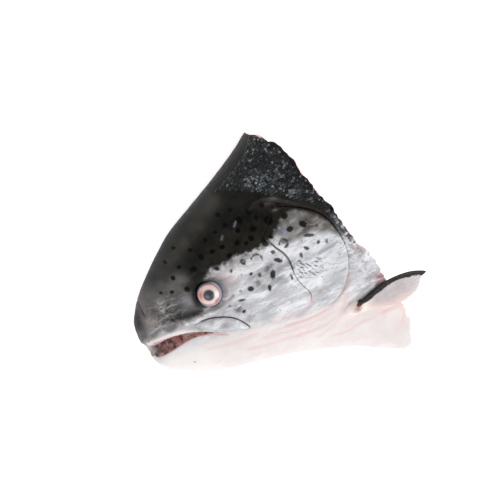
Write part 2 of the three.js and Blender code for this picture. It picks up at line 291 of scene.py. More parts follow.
inks = {"black": srgb(20, 18, 16), "grey": srgb(74, 74, 76), "slate": srgb(54, 62, 72),
        "blue": srgb(104, 122, 144), "faint": srgb(160, 164, 176), "brown": srgb(44, 34, 27),
        "taupe": srgb(92, 84, 76), "mist": srgb(188, 188, 193)}
spotMarks = {
    # x, y, half length, half width, lean in degrees, ink
    "cheek": [(99.5, 5.4, 3.3, 1.7, 59, "black"), (91.7, 9.4, 1.8, 1.2, 59, "grey"),
              (87.0, 13.0, 1.3, 1.1, 0, "black"), (81.9, 4.0, 2.2, 1.8, -31, "black"),
              (93.4, -2.0, 2.5, 1.2, 69, "black"), (70.8, -7.9, 1.4, 1.2, 0, "black"),
              (75.3, 6.3, 0.9, 0.7, 0, "grey"),
              (107.3, 12.2, 3.0, 1.4, -48, "brown"), (106.9, 18.9, 1.7, 1.3, -31, "grey"),
              (105.3, 26.8, 2.6, 2.1, -60, "black"), (110.6, 28.7, 1.7, 1.4, -50, "black"),
              (124.5, 26.8, 2.3, 1.9, 0, "black"), (133.8, 25.5, 2.8, 2.0, -55, "black"),
              (125.7, 36.4, 2.3, 2.1, 0, "black"), (133.7, 16.7, 3.8, 1.2, -27, "slate"),
              (137.2, 9.3, 1.4, 1.1, 45, "slate"), (142.5, 6.8, 1.7, 0.9, 59, "blue"),
              (127.9, 9.8, 1.9, 1.2, -46, "slate"), (122.4, 7.4, 1.9, 1.1, 69, "grey"),
              (132.0, -0.8, 1.9, 1.0, -41, "faint"), (146.1, -5.6, 0.8, 0.7, 0, "faint"),
              (109.7, -2.8, 2.5, 0.8, 79, "grey"), (141.4, 19.6, 1.2, 1.0, 0, "grey"),
              (81.2, 15.7, 0.8, 0.7, 0, "faint"), (76.3, 21.5, 1.2, 1.0, 59, "grey"),
              (68.9, 27.3, 1.8, 1.3, -31, "black"), (64.2, 0.2, 1.0, 0.7, 0, "grey"),
              (26.0, -25.1, 1.0, 0.4, -31, "grey"), (73.0, 0.0, 2.5, 1.0, -21, "grey")],
    "back": [(115.1, 38.8, 2.8), (103.3, 38.9, 2.4), (98.8, 48.3, 2.1), (106.6, 50.4, 1.7),
             (108.9, 44.2, 1.5), (116.9, 49.7, 1.7), (126.3, 44.4, 1.8), (94.2, 42.8, 1.7),
             (89.3, 35.9, 1.7), (94.4, 33.0, 1.5),
             (99.0, 34.3, 1.7), (80.7, 31.1, 2.0), (79.4, 38.4, 1.8), (72.1, 38.9, 1.8), (64.0, 39.1, 1.8),
             (55.6, 34.5, 2.1), (48.2, 39.9, 1.4), (41.0, 35.2, 1.4), (35.6, 27.3, 1.4), (45.1, 24.6, 1.7),
             (80.7, 49.0, 1.4), (72.3, 47.5, 1.4), (88.9, 49.9, 1.4), (97.1, 56.8, 1.4), (88.7, 57.6, 1.4),
             (60.3, 46.4, 1.3), (42.3, 46.4, 1.0), (29, 30, 1.1), (52, 52, 1.2)],
    # centre, radius, first and last angle, half width
    "rings": [(115.9, 20.6, 2.8, 165, -95, 0.6), (95.0, 19.6, 3.6, 140, -30, 0.6),
              (86.4, 23.0, 1.5, 0, 320, 0.5)],
    # x, y, reach, ink
    "smudges": [(99.9, 12.0, 2.4, "taupe"), (97.5, 10.0, 1.8, "taupe"), (88.0, 4.8, 2.4, "taupe"),
                (86.6, 23.0, 1.5, "grey"), (116.3, 21.6, 2.2, "taupe"), (96.0, 20.6, 2.0, "mist"),
                (68.6, -4.7, 3.0, "grey"), (99.0, -9.3, 4.2, "mist"), (60, -11, 3.2, "mist"),
                (119.0, 28.6, 2.6, "blue"), (112.0, 7.0, 1.5, "taupe"), (113.2, 3.0, 1.3, "taupe"),
                (121, -26, 4.5, "mist"), (137, -20, 4, "mist"), (104, -30, 4, "mist"),
                (84, -19, 4.5, "mist")],
}


def spotFields(x, y):
    spot, ink = np.full(np.shape(x), 50.0), np.tile(inks["black"], (len(x), 1))
    for cx, cy, half, thin, lean, tone in spotMarks["cheek"]:
        c, k = math.cos(math.radians(lean)), math.sin(math.radians(lean))
        u, v = (x - cx) * c + (y - cy) * k, (y - cy) * c - (x - cx) * k
        d = (np.hypot(u / half, v / thin) - 1) * math.sqrt(half * thin)
        ink = np.where((d < spot)[:, None], inks[tone], ink)
        spot = np.minimum(spot, d)
    for cx, cy, radius in spotMarks["back"]:
        d = np.hypot(x - cx, (y - cy) * (1 + 0.2 * math.sin(5 * cx))) - radius
        ink = np.where((d < spot)[:, None], inks["black"] * 0.4, ink)
        spot = np.minimum(spot, d)
    for cx, cy, radius, first, last, half in spotMarks["rings"]:
        turns = np.radians(np.linspace(first, last, 16))
        arc = np.column_stack([cx + radius * np.cos(turns), cy + radius * np.sin(turns)])
        d = lineDistance(arc, x, y) - half + 0.45 * ripple(x, y, 1.8, 38)
        ink = np.where((d < spot)[:, None], inks["grey"] * 0.6, ink)
        spot = np.minimum(spot, d)
    smudge, smudgeInk = np.zeros(np.shape(x)), np.tile(inks["faint"], (len(x), 1))
    for cx, cy, reach, tone in spotMarks["smudges"]:
        d = bell(np.hypot(x - cx, (y - cy) * 1.2), reach)
        smudgeInk = np.where((d > smudge)[:, None], inks[tone], smudgeInk)
        smudge = np.maximum(smudge, np.minimum(1.5 * d, 1))
    return spot, ink, smudge, smudgeInk


# rows of short dark wrinkles that fan out over the gill cover
strokes = {"rows": 8, "places": 5, "seed": 5, "start": (118.2, 3.2), "along": (0.857, -0.515),
           "placeGap": 3.9, "rowGap": 1.55, "stagger": 1.8, "lean": -55, "fan": 12, "fanRun": 18}


def strokeField(x, y):
    rng = np.random.default_rng(strokes["seed"])
    (startX, startY), (alongX, alongY) = strokes["start"], strokes["along"]
    best = np.full(np.shape(x), 50.0)
    for row in range(strokes["rows"]):
        for place in range(strokes["places"]):
            run = place * strokes["placeGap"] + strokes["stagger"] * (row % 2) + rng.uniform(-0.6, 0.6)
            drop = 1.6 - row * strokes["rowGap"] + rng.uniform(-0.4, 0.4)
            length = rng.uniform(0.7, 4.2) * (0.5 + 0.5 * math.sin(math.pi * (place + 0.7) / 5))
            fan = strokes["fan"] * run / strokes["fanRun"]
            turn = math.radians(strokes["lean"] + fan + rng.uniform(-5, 5))
            cx = startX + alongX * run - alongY * drop
            cy = startY + alongY * run + alongX * drop
            half = (length * math.cos(turn) / 2, length * math.sin(turn) / 2)
            weight = rng.uniform(-0.16, 0.3)
            ends = [(cx - half[0], cy - half[1]), (cx + half[0], cy + half[1])]
            best = np.minimum(best, lineDistance(ends, x, y) + weight)
    return best


# relief of the skin, millimetres outward: line, height, width
reliefLines = [("snoutCrease", -0.55, 0.8), ("lipTop", -0.4, 0.9), ("jawPlateTop", -0.8, 0.9),
               ("underEyeBone", 0.6, 2.0), ("socketUnder", -0.8, 1.1), ("darkUnderEye", -0.5, 1.6),
               ("cheekBone", 0.5, 0.9), ("lipBand", 0.45, 1.2), ("finFold", -0.9, 1.6)]


def skinRelief(x, y):
    eyeGap = np.hypot(x - marks["eye"][0], y - marks["eye"][1])
    r = 0.35 * ripple(x, y, 15, 1) + 0.13 * ripple(x, y, 5, 2)
    r = r + 0.9 * bell(eyeGap - 11.8, 2.2) - 0.5 * bell(eyeGap - 15, 1.4)
    for cx, cy, radius in marks["nostrils"]:
        d = np.hypot(x - cx, y - cy)
        r = r - 1.5 * bell(d, radius * 0.75) + 0.5 * bell(d - radius * 1.3, 0.7)
    for name, height, width in reliefLines:
        r = r + height * bell(lineDistance(marks[name], x, y), width)
    r = r - 1.3 * bell(lineDistance(marks["gillSlit"], x, y), 1.6) * ease(y, -40, -22)
    r = r + 0.7 * bell(lineDistance(marks["coverFront"], x, y), 4.5) * ease(y, -34, -20)
    for path, _, strength in marks["folds"]:
        d = lineDistance(path, x, y)
        r = r - 0.8 * strength * bell(d, 0.9) + 0.4 * strength * bell(d - 2.6, 1.6)
    collar = ease(x, 150, 154) * ease(y, -62, -45) * (1 - ease(y, 20, 32))
    return r + collar * (0.8 * ripple(x, y, 6, 3) + 0.75 * ripple(x, y, 2.6, 4))


# distance fields become meshes on a grid of this spacing
voxel = 0.88


def gridAxes(low, high, spacing):
    axes = [np.arange(low[i], high[i] + spacing, spacing) for i in range(3)]
    return axes[0][:, None, None], axes[1][None, :, None], axes[2][None, None, :]


# drops specks that float free of the main surface
def mainSurface(points, quads):
    label = np.arange(len(points))
    while True:
        lowest = np.repeat(label[quads].min(axis=1), 4)
        spread = label.copy()
        np.minimum.at(spread, quads.ravel(), lowest)
        spread = spread[spread]
        if np.array_equal(spread, label):
            break
        label = spread
    main = label == np.bincount(label).argmax()
    place = np.cumsum(main) - 1
    return points[main], place[quads[main[quads[:, 0]]]]


def fieldMesh(field, low, spacing):
    reach = 3 * spacing
    volume = openvdb.FloatGrid(background=reach)
    volume.copyFromArray(np.clip(field, -reach, reach).astype(np.float32))
    points, quads = volume.convertToQuads(isovalue=0.0)
    return mainSurface(points * spacing + np.array(low), quads)


def meshObject(name, points, faces, smooth=True):
    mesh = bpy.data.meshes.new(name)
    mesh.from_pydata(toRow(points).tolist(), [], [list(map(int, f)) for f in faces])
    mesh.validate()
    mesh.update()
    if smooth:
        mesh.shade_smooth()
    thing = bpy.data.objects.new(name, mesh)
    bpy.context.collection.objects.link(thing)
    return thing


def giveNumbers(thing, name, values):
    layer = thing.data.attributes.new(name, "FLOAT", "POINT")
    layer.data.foreach_set("value", np.ascontiguousarray(values, dtype=np.float32))


def giveColour(thing, name, colours):
    layer = thing.data.attributes.new(name, "FLOAT_COLOR", "POINT")
    full = np.ones((len(colours), 4), dtype=np.float32)
    full[:, :3] = colours
    layer.data.foreach_set("color", full.ravel())


# eye frame: centre of the ball and the way it looks
eyeSet = {"radius": 9.0, "half": 6.2, "sink": 1.2}
eyeSurface = np.array([*marks["eye"], float(skinHeight(*marks["eye"]))])
eyeOut = skinNormal(*[np.array(v) for v in marks["eye"]])
eyeCentre = eyeSurface - eyeOut * eyeSet["sink"]


def eyeBall(x, y, z, radius, half):
    dx, dy, dz = x - eyeCentre[0], y - eyeCentre[1], z - eyeCentre[2]
    n = dx * eyeOut[0] + dy * eyeOut[1] + dz * eyeOut[2]
    across = np.sqrt(np.maximum(dx**2 + dy**2 + dz**2 - n**2, 0))
    level = np.sqrt((across / radius) ** 2 + (n / half) ** 2 + 1e-9)
    return (level - 1) * level / np.sqrt((across / radius**2) ** 2 + (n / half**2) ** 2 + 1e-9)


# hollows of the cut face, millimetres inward
def cutRelief(x, y):
    r = 0.25 * (1 + ripple(x, y, 7, 11))
    r = r + 2.6 * bell(np.hypot((x - 86) / 1.9, (y - 47)), 6.5)       # brain space
    r = r + 1.6 * bell(np.hypot((x - 61) / 1.5, (y - 30)), 6.0)       # wall behind the eye
    r = r + 1.8 * bell(np.hypot((x - 112) / 1.6, (y - 43)), 5.0)      # ear chamber
    r = r + 1.0 * bell(lineDistance([(110, 49), (140, 55), (160, 57)], x, y), 2.2)
    r = r + 0.8 * bell(lineDistance([(8, 14), (40, 30), (62, 44)], x, y), 1.6)
    return np.maximum(r, 0)


# how far the gill cover and jaw plate stand clear of the skin that runs over their hidden ends
plates = {
    "gill_plate": {"outline": gillOutline, "proud": 0.7, "inset": 2.2, "spacing": 0.6, "rise": 9.0,
                   "node": "gill_cover", "hidden": [(-45, 127), (-34, 124), (-28, 118), (-24, 112),
                                                    (-20, 109), (20, 105), (28, 102), (34, 110), (40, 118),
                                                    (46, 122), (55, 126)]},
    "jaw_bone": {"outline": jawOutline, "proud": 0.8, "inset": 1.7, "spacing": 0.45, "rise": 14.0,
                 "node": "jaw_plate", "hidden": [(-20, 44), (-8, 41), (0, 38), (10, 38)]}, }


def clearOf(plate, x, y):
    height, edge = np.array(plate["hidden"], dtype=float).T
    return x - np.interp(y, height, edge)


print("sculpting the head")
mouthSlope = 0.9
headGrid = {"low": (-4.0, -106.0, -3.0), "high": (178.0, 98.0, 46.0)}


headCuts = {
    "faceEdge": 0.8, "skinTop": 42.2,        # rounding of the cut face's rim, highest point of the cheek
    "neckEdge": 1.4, "snoutBlunt": 4.0,
    "slitDepth": 14, "slitEdge": 1.6,        # the mouth
    "throatRadius": 8.3, "throatEdge": 2.0,
    "eyeRoom": 0.12, "seatRoom": 0.4,        # room left round the ball and under the plates
}


def buildHead():
    x, y, z = gridAxes(headGrid["low"], headGrid["high"], voxel)
    flatX, flatY = x[:, :, 0], y[:, :, 0]
    skin = skinDistance(x, y, z) - skinRelief(flatX, flatY)[:, :, None]
    body = cut(skin, cutRelief(flatX, flatY)[:, :, None] - z, headCuts["faceEdge"])
    body = cut(body, z - headCuts["skinTop"], 1.0)
    ragged = 1.1 * ripple(y[0], z[0], 8, 21)[None] + 0.8 * ripple(y[0], z[0], 2.6, 22)[None]
    body = cut(body, loopDistance(neckLoop, flatX, flatY)[:, :, None] + ragged + 0.4, headCuts["neckEdge"])
    body = cut(body, 0.4 - x, headCuts["snoutBlunt"])
    # mouth slit: its lower wall slopes up into view
    i, j = np.flatnonzero(x.ravel() < 52), np.flatnonzero((y.ravel() > -30) & (y.ravel() < 30))
    block = np.ix_(i, j, np.arange(z.size))
    depth = np.clip(-skin[block], 0, 16)
    slit = loopDistance(mouthOutline, x[i] + 0 * depth, y[:, j] - mouthSlope * depth)
    wall = np.maximum(slit, -skin[block] - headCuts["slitDepth"])
    body[block] = cut(body[block], -wall, headCuts["slitEdge"])
    tube = np.sqrt(lineDistance(throatPath, flatX, flatY)[:, :, None] ** 2 + (z / 0.95) ** 2)
    body = cut(body, headCuts["throatRadius"] - tube, headCuts["throatEdge"])
    body = cut(body, -eyeBall(x, y, z, eyeSet["radius"] + headCuts["eyeRoom"], eyeSet["half"] + 0.4), 0.5)
    for plate in plates.values():
        edge = np.maximum(loopDistance(plate["outline"], flatX, flatY) - 0.2, -clearOf(plate, flatX, flatY))
        seat = np.maximum(edge[:, :, None], -(skin + plate["inset"] + headCuts["seatRoom"]))
        body = cut(body, -seat, 0.6)
    return fieldMesh(body, headGrid["low"], voxel)


def mixTo(a, b, amount):
    amount = np.clip(amount, 0, 1)[:, None]
    return a * (1 - amount) + b * amount


# where the pale throat ends, and the brownish top of the gill cover
def throatLine(x):
    return np.interp(x, [0, 40, 68, 100, 130, 145, 165], [-8, -13, -21, -31, -36, -38, -46])


def brownZone(x, y):
    lowEdge = np.interp(x, [116, 122, 129, 138, 147, 152], [18.5, 17, 17.5, 15.5, 11, 6])
    return ease(y - lowEdge, -2.5, 3.5) * ease(x, 114, 119)


# touches of colour: a point or a line, stretch along x, reach, colour, strength and how patchy
skinTouches = {
    "cheek": [((72, 18), 1.3, 7.0, (196, 176, 174), 0.7, 0), ((65, 19), 0.6, 6.67, (150, 136, 135), 0.8, 0),
              # the broad bright patch at (132, 2) is partly the cover's silver colour, partly a painted
              # highlight
              ((80, 19), 1.4, 4.0, (226, 219, 220), 0.8, 0), ((132, 2), 1.2, 17, (232, 234, 240), 0.9, 0),
              ((3, -13), 1, 5, (178, 174, 174), 0.8, 0)],
    "coverTop": [((119.5, 28.5), 1.2, 2.6, (140, 150, 166), 0.6, 0)],
    "underEye": [((36, 6.2), 1.6, 3.0, (76, 78, 82), 0.4, 0.48)],
    "lips": [((56, -10.6), 1.6, 3.0, (128, 124, 126), 0.8, 0), ("lipBand", 1, 2.0, (246, 238, 238), 0.97, 0),
             ("lipRed", 1, 0.8, (206, 128, 120), 0.75, 0), ((32.5, 3.1), 1.5, 2.0, (132, 131, 133), 0.8, 0),
             ((41.5, -4), 1.8, 2.2, (244, 243, 245), 0.8, 0), ((56, -1), 2.2, 1.4, (240, 239, 241), 0.8, 0),
             ((50, -7.6), 1.5, 2.0, (236, 235, 237), 0.8, 0), ((72, -15), 1, 3.0, (156, 155, 157), 0.8, 0),
             ((86.5, 10.5), 1.4, 2.4, (150, 149, 151), 0.8, 0), ((106, 7), 1.2, 2.2, (166, 165, 167), 0.8, 0),
             ((23, 4.6), 1.6, 1.6, (96, 95, 97), 0.8, 0), ((17, 5.4), 1.4, 1.4, (206, 205, 207), 0.8, 0),
             ((136, -51), 1.3, 5, (240, 224, 220), 0.8, 0)],
    "socket": [("darkUnderEye", 1, 2.8, (20, 21, 24), 0.68, 0.485),
               ((22, 4.6), 1.7, 1.5, (52, 52, 54), 0.54, 0.54),
               # the socketUnder line is painted shade in the groove under the eye
               ("socketUnder", 1, 1.1, (44, 43, 45), 0.9, 0),
               ("underEyeBone", 1, 1.5, (228, 228, 231), 0.85, 0),
               ((124, -22.6), 2.2, 2.8, (150, 142, 138), 0.75, 0)],
    "collar": [("collarBlood", 1, 0.9, (176, 100, 94), 0.7, 0)],
    "finRoot": [("finFold", 1, 3.5, (236, 200, 193), 0.6, 0), ("finShade", 1, 1.7, (110, 124, 138), 0.65, 0),
                ((164.5, -36.5), 1.5, 4.4, (142, 60, 58), 0.9, 0)],
    "snout": [((25, 23.2), 1.3, 2.8, (186, 186, 190), 0.63, 0.45),
              ((14, 15.5), 1.3, 4.4, (156, 148, 144), 0.85, 0),
              ((11.5, 8.5), 1.5, 3.0, (160, 160, 165), 0.85, 0),
              ((26, 14), 1.4, 3.0, (134, 130, 128), 0.7, 0), ((34, 12.8), 1.5, 2.4, (70, 71, 76), 0.8, 0),
              ((41, 18), 1.2, 3.6, (126, 125, 129), 0.8, 0)],
    "snoutShade": [("snoutEdge", 1, 2.6, (28, 28, 28), 0.8, 0),
                   ((20.5, 11.5), 1.6, 1.7, (38, 38, 39), 0.48, 0.48)],
    "back": [((123.5, 49.4), 2.2, 2.0, (112, 104, 98), 0.75, 0),
             ((122.9, 43), 1.8, 1.2, (120, 124, 128), 0.6, 0),
             ("scratchLow", 1, 0.45, (150, 158, 166), 0.6, 0),
             ("scratchHigh", 1, 0.45, (150, 158, 166), 0.6, 0)],
    "beforeEye": [((48, 25.5), 0.91, 3.96, (8, 9, 10), 0.8, 0),
                  ((41.5, 17.5), 0.714, 3.92, (140, 139, 143), 0.8, 0),
                  ("darkUnderEye", 1, 3.0, (12, 13, 15), 0.68, 0.485)],
    # muzzle: the socketUnder line is painted shade in the groove under the eye
    "muzzle": [((22, 5), 1.7, 1.6, (30, 31, 33), 0.54, 0.54), ("socketUnder", 1, 1.2, (44, 42, 42), 0.8, 0)],
}


def touch(paint, part, x, y, blotch):
    for place, stretch, reach, colour, strength, patchy in skinTouches[part]:
        if isinstance(place, str):
            gap = lineDistance(marks[place], x, y)
        else:
            gap = np.hypot((x - place[0]) / stretch, y - place[1])
        paint = mixTo(paint, srgb(*colour), (strength + patchy * blotch) * bell(gap, reach))
    return paint


def palePaint(x, y, eyeGap, blotch):
    paint = np.tile(srgb(200, 201, 206), (len(x), 1))
    throat = ease(throatLine(x) - y, -5, 9)
    paint = mixTo(paint, srgb(238, 231, 229), throat)
    paint = mixTo(paint, srgb(226, 217, 216), throat * ease(x, 30, 60))
    paint = touch(paint, "cheek", x, y, blotch)
    brown = 0.97 * brownZone(x, y)
    paint = mixTo(paint, srgb(84, 77, 72), brown)
    paint = touch(paint, "coverTop", x, y, blotch)
    darkEdge = np.interp(x, [118, 130, 142, 150], [24, 24.5, 18.5, 11])
    paint = mixTo(paint, srgb(56, 50, 43),
                  brown * (0.75 + 0.35 * ripple(x, y, 2.6, 39)) * ease(y - darkEdge, -2, 6))
    grey = bell(np.hypot((x - 96) / 1.9, y - 1.5), 7.5) * (0.55 + 0.6 * ripple(x, y, 4.5, 36))
    paint = mixTo(paint, srgb(148, 148, 152), grey)
    front = ease(34 - x, -8, 12) * ease(y, -9, -3)
    paint = mixTo(paint, srgb(148, 143, 145), 0.9 * front)
    paint = mixTo(paint, srgb(90, 92, 97), 0.8 * front * blotch)
    paint = touch(paint, "underEye", x, y, blotch)
    jaw = ease(-loopDistance(jawOutline, x, y), -0.5, 2) * (0.4 + 0.8 * ripple(x, y, 5, 33))
    paint = mixTo(paint, srgb(172, 170, 174), 0.8 * jaw)
    paint = touch(paint, "lips", x, y, blotch)
    paint = mixTo(paint, srgb(240, 239, 241), 0.6 * ease(x, 151, 156) * bell(y + 14, 9))
    paint = touch(paint, "socket", x, y, blotch)
    collar = ease(x, 150, 155)
    paint = mixTo(paint, srgb(118, 122, 130), collar * ease(y, -16, 8) * (0.3 + 0.6 * ripple(x, y, 2.4, 34)))
    pink = ease(ripple(x, y, 3.4, 35), 0.35, 0.8)
    paint = mixTo(paint, srgb(214, 160, 156), 0.7 * collar * ease(y, -40, -20) * pink)
    paint = mixTo(paint, srgb(150, 140, 141), 0.9 * bell(eyeGap - 11, 3.6))
    paint = mixTo(paint, srgb(112, 114, 120), 0.9 * bell(eyeGap - 9.6, 1.8))
    # painted shadow of the socket rim, darker above the eye
    paint = mixTo(paint, srgb(60, 62, 66), 0.9 * bell(eyeGap - 9.8, 2.2) * ease(y - marks["eye"][1], -3, 7))
    paint = touch(paint, "collar", x, y, blotch)
    grey = ease(x, 149, 154) * ease(y, -28, -10) * (0.5 + 0.5 * ripple(x, y, 4, 31))
    paint = mixTo(paint, srgb(150, 154, 160), 0.5 * grey)
    return touch(paint, "finRoot", x, y, blotch)


def darkPaint(x, y, z, eyeGap, blotch):
    paint = np.tile(srgb(7, 7, 6), (len(x), 1))
    band = (0.6 + 0.5 * ripple(x, y, 6, 56)) * bell(-loopDistance(darkLoop, x, y) - 7, 10) * ease(x, 50, 70)
    paint = mixTo(paint, srgb(34, 32, 25), band)
    paint = mixTo(paint, srgb(32, 35, 37), 0.85 * ease(52 - x, -14, 20))
    snout = ease(37 - y, -6, 8) * ease(50 - x, -3, 5)
    paint = mixTo(paint, srgb(104, 100, 98), snout * (0.85 + 0.25 * ripple(x, y, 4, 37)))
    ridge = 0.8 * bell(lineDistance(marks["oliveRidge"], x, y), 4.5)
    paint = mixTo(paint, srgb(64, 61, 54), ridge * (0.75 + 0.4 * ripple(x, y, 5, 57)))
    paint = touch(paint, "snout", x, y, blotch)
    paint = mixTo(paint, srgb(36, 37, 39), 0.9 * bell(x - 2, 5.5) * ease(y, 9, 15))
    paint = touch(paint, "snoutShade", x, y, blotch)
    crown = ease(x, 22, 36) * (1 - ease(x, 84, 100)) * bell(z - 4, 7)
    paint = mixTo(paint, srgb(30, 34, 38), 0.6 * crown)
    paint = touch(paint, "back", x, y, blotch)
    paint = mixTo(paint, srgb(26, 24, 20), 0.7 * ease(x, 84, 104) * bell(z - 4, 6))
    paint = mixTo(paint, srgb(10, 11, 12), 0.95 * ease(-loopDistance(scaleLoop, x, y), -1, 3))
    paint = mixTo(paint, srgb(84, 88, 94), 0.8 * bell(eyeGap - 10.5, 2.0) * ease(x - y - 30, -6, 6))
    # painted shadow: a black crescent round the upper left of the eye
    paint = mixTo(paint, srgb(6, 7, 8), 0.97 * bell(eyeGap - 10.3, 2.0) * ease(y - 0.8 * x + 26, -6, 4))
    paint = touch(paint, "beforeEye", x, y, blotch)
    scar = lineDistance(marks["whiteScar"], x, y) + 0.7 * ripple(x, y, 1.6, 58)
    paint = mixTo(paint, srgb(206, 204, 206), 0.8 * bell(scar, 0.9))
    paint = touch(paint, "muzzle", x, y, blotch)
    return mixTo(paint, srgb(90, 94, 99), 0.7 * ease(x, 148, 155) * ease(24 - y, 0, 14))


# dark patches of the cut face, painted shade where hollows would be: place and reach
fleshHollowShade = [(52, 34, 3.2), (60, 41, 2.4), (73, 36, 2.8), (66, 28, 2.0), (96, 34, 2.6), (40, 22, 2.2)]


def fleshPaint(p, inner):
    x, y, z = p.T
    onCut = 1 - ease(z, 1.5, 4.5)
    meat = np.tile(srgb(226, 184, 176), (len(p), 1))
    # cut face: cartilage, muscle wedge, palate band, jaw
    wedge = np.interp(x, [70, 100, 120, 150], [88, 60, 46, 34])
    muscle = ease(y - wedge + 2 * ripple(x, y, 7, 50), -1.5, 2.5)
    meat = mixTo(meat, srgb(222, 100, 58), muscle * 0.97)
    stripe = np.abs(np.sin((x * 0.55 + np.abs(y - 66) * 0.42) * 0.55 + ripple(x, y, 12, 41)))
    meat = mixTo(meat, srgb(240, 206, 190), muscle * (stripe < 0.18) * 0.8)
    gristle = bell(np.interp(x, [0, 30, 60, 90, 120], [12, 36, 50, 60, 66]) - y, 9) * (1 - muscle)
    meat = mixTo(meat, srgb(206, 190, 190), gristle * 0.7)
    bendX, bendY = x + 5 * ripple(x, y, 11, 43), y + 5 * ripple(x, y, 13, 44)
    blots = 0.65 * ripple(bendX, bendY, 9, 42) + 0.35 * ripple(bendX, bendY, 4, 48)
    rest = onCut * (1 - 0.8 * muscle)
    meat = mixTo(meat, srgb(206, 112, 104), ease(blots, 0.15, 0.6) * 0.75 * rest)
    meat = mixTo(meat, srgb(246, 228, 224), ease(-blots, 0.1, 0.5) * 0.85 * rest)
    strands = np.abs(ripple(bendX, bendY, 6, 49))
    meat = mixTo(meat, srgb(250, 234, 230), (1 - ease(strands, 0.02, 0.14)) * 0.7 * rest)
    # painted shade of hollows
    for cx, cy, reach in fleshHollowShade:
        meat = mixTo(meat, srgb(120, 66, 70), 0.8 * bell(np.hypot((x - cx) / 1.4, y - cy), reach) * onCut)
    meat = mixTo(meat, srgb(236, 120, 62), 0.8 * bell(np.hypot((x - 80) / 1.2, y - 30), 4.0) * onCut)
    roof = lineDistance([(14, 3), (40, 2), (70, 0), (110, -3), (160, -8)], x, y)
    meat = mixTo(meat, srgb(238, 222, 218), bell(roof, 4.5) * onCut)
    meat = mixTo(meat, srgb(168, 60, 54), bell(np.abs(roof - 6), 1.2) * ease(y, -6, 3) * onCut * 0.8)
    meat = mixTo(meat, srgb(120, 38, 40), 0.9 * bell(np.hypot((x - 86) / 1.7, y - 47), 5) * onCut)
    # neck face
    neckGap = np.abs(loopDistance(neckLoop, x, y))
    onNeck = bell(neckGap, 3.0) * (z > 2)
    neckMeat = np.tile(srgb(222, 108, 76), (len(p), 1))
    rings = np.abs(np.sin(np.hypot(y - 30, z * 1.4) * 0.36 + 0.8 * ripple(y, z, 14, 45)))
    neckMeat = mixTo(neckMeat, srgb(244, 200, 182), (rings < 0.16) * 0.9)
    neckMeat = mixTo(neckMeat, srgb(246, 228, 222), bell(inner - 1.0, 1.4))
    neckMeat = mixTo(neckMeat, srgb(118, 28, 30), bell(np.hypot(y - 12, z - 5), 6))
    neckMeat = mixTo(neckMeat, srgb(240, 226, 220), bell(np.hypot(y - 27, z - 3), 6))
    neckMeat = mixTo(neckMeat, srgb(170, 70, 66), bell(np.hypot(y + 37, (z - 32) / 1.6), 6))
    neckMeat = mixTo(neckMeat, srgb(240, 214, 208), ease(-40 - y, -4, 8))
    meat = mixTo(meat, neckMeat, onNeck)
    # mouth walls
    slit = loopDistance(mouthOutline, x, y - mouthSlope * np.clip(inner, 0, 16))
    mouthHere = (x < 50) * bell(np.maximum(slit, 0), 3.0) * (z > 1)
    wall = np.tile(srgb(172, 116, 112), (len(p), 1))
    wall = mixTo(wall, srgb(84, 44, 42), ease(ripple(x, y + z, 2.6, 46), 0.0, 0.6))
    wall = mixTo(wall, srgb(44, 42, 41), 0.9 * ease(20 - x, -3, 7) * (0.75 + 0.4 * ripple(x, y + z, 2.0, 47)))
    wall = mixTo(wall, srgb(22, 20, 20),
                 0.8 * ease(ripple(x, y + z, 1.7, 55), 0.25, 0.6) * ease(22 - x, -3, 7))
    wall = mixTo(wall, srgb(216, 212, 214), 0.85 * bell(np.hypot(x - 3, (y + 1) * 0.8), 4.2))
    wall = mixTo(wall, srgb(214, 170, 166), 1 - ease(inner, 0.4, 1.2))
    meat = mixTo(meat, wall, mouthHere)
    tube = np.sqrt(lineDistance(throatPath, x, y) ** 2 + z**2)
    lining = mixTo(np.tile(srgb(226, 190, 184), (len(p), 1)), srgb(96, 58, 56), 1 - ease(x, 44, 62))
    meat = mixTo(meat, lining, (1 - ease(tube, 9, 11)) * (z > 0.8) * (1 - mouthHere))
    return meat


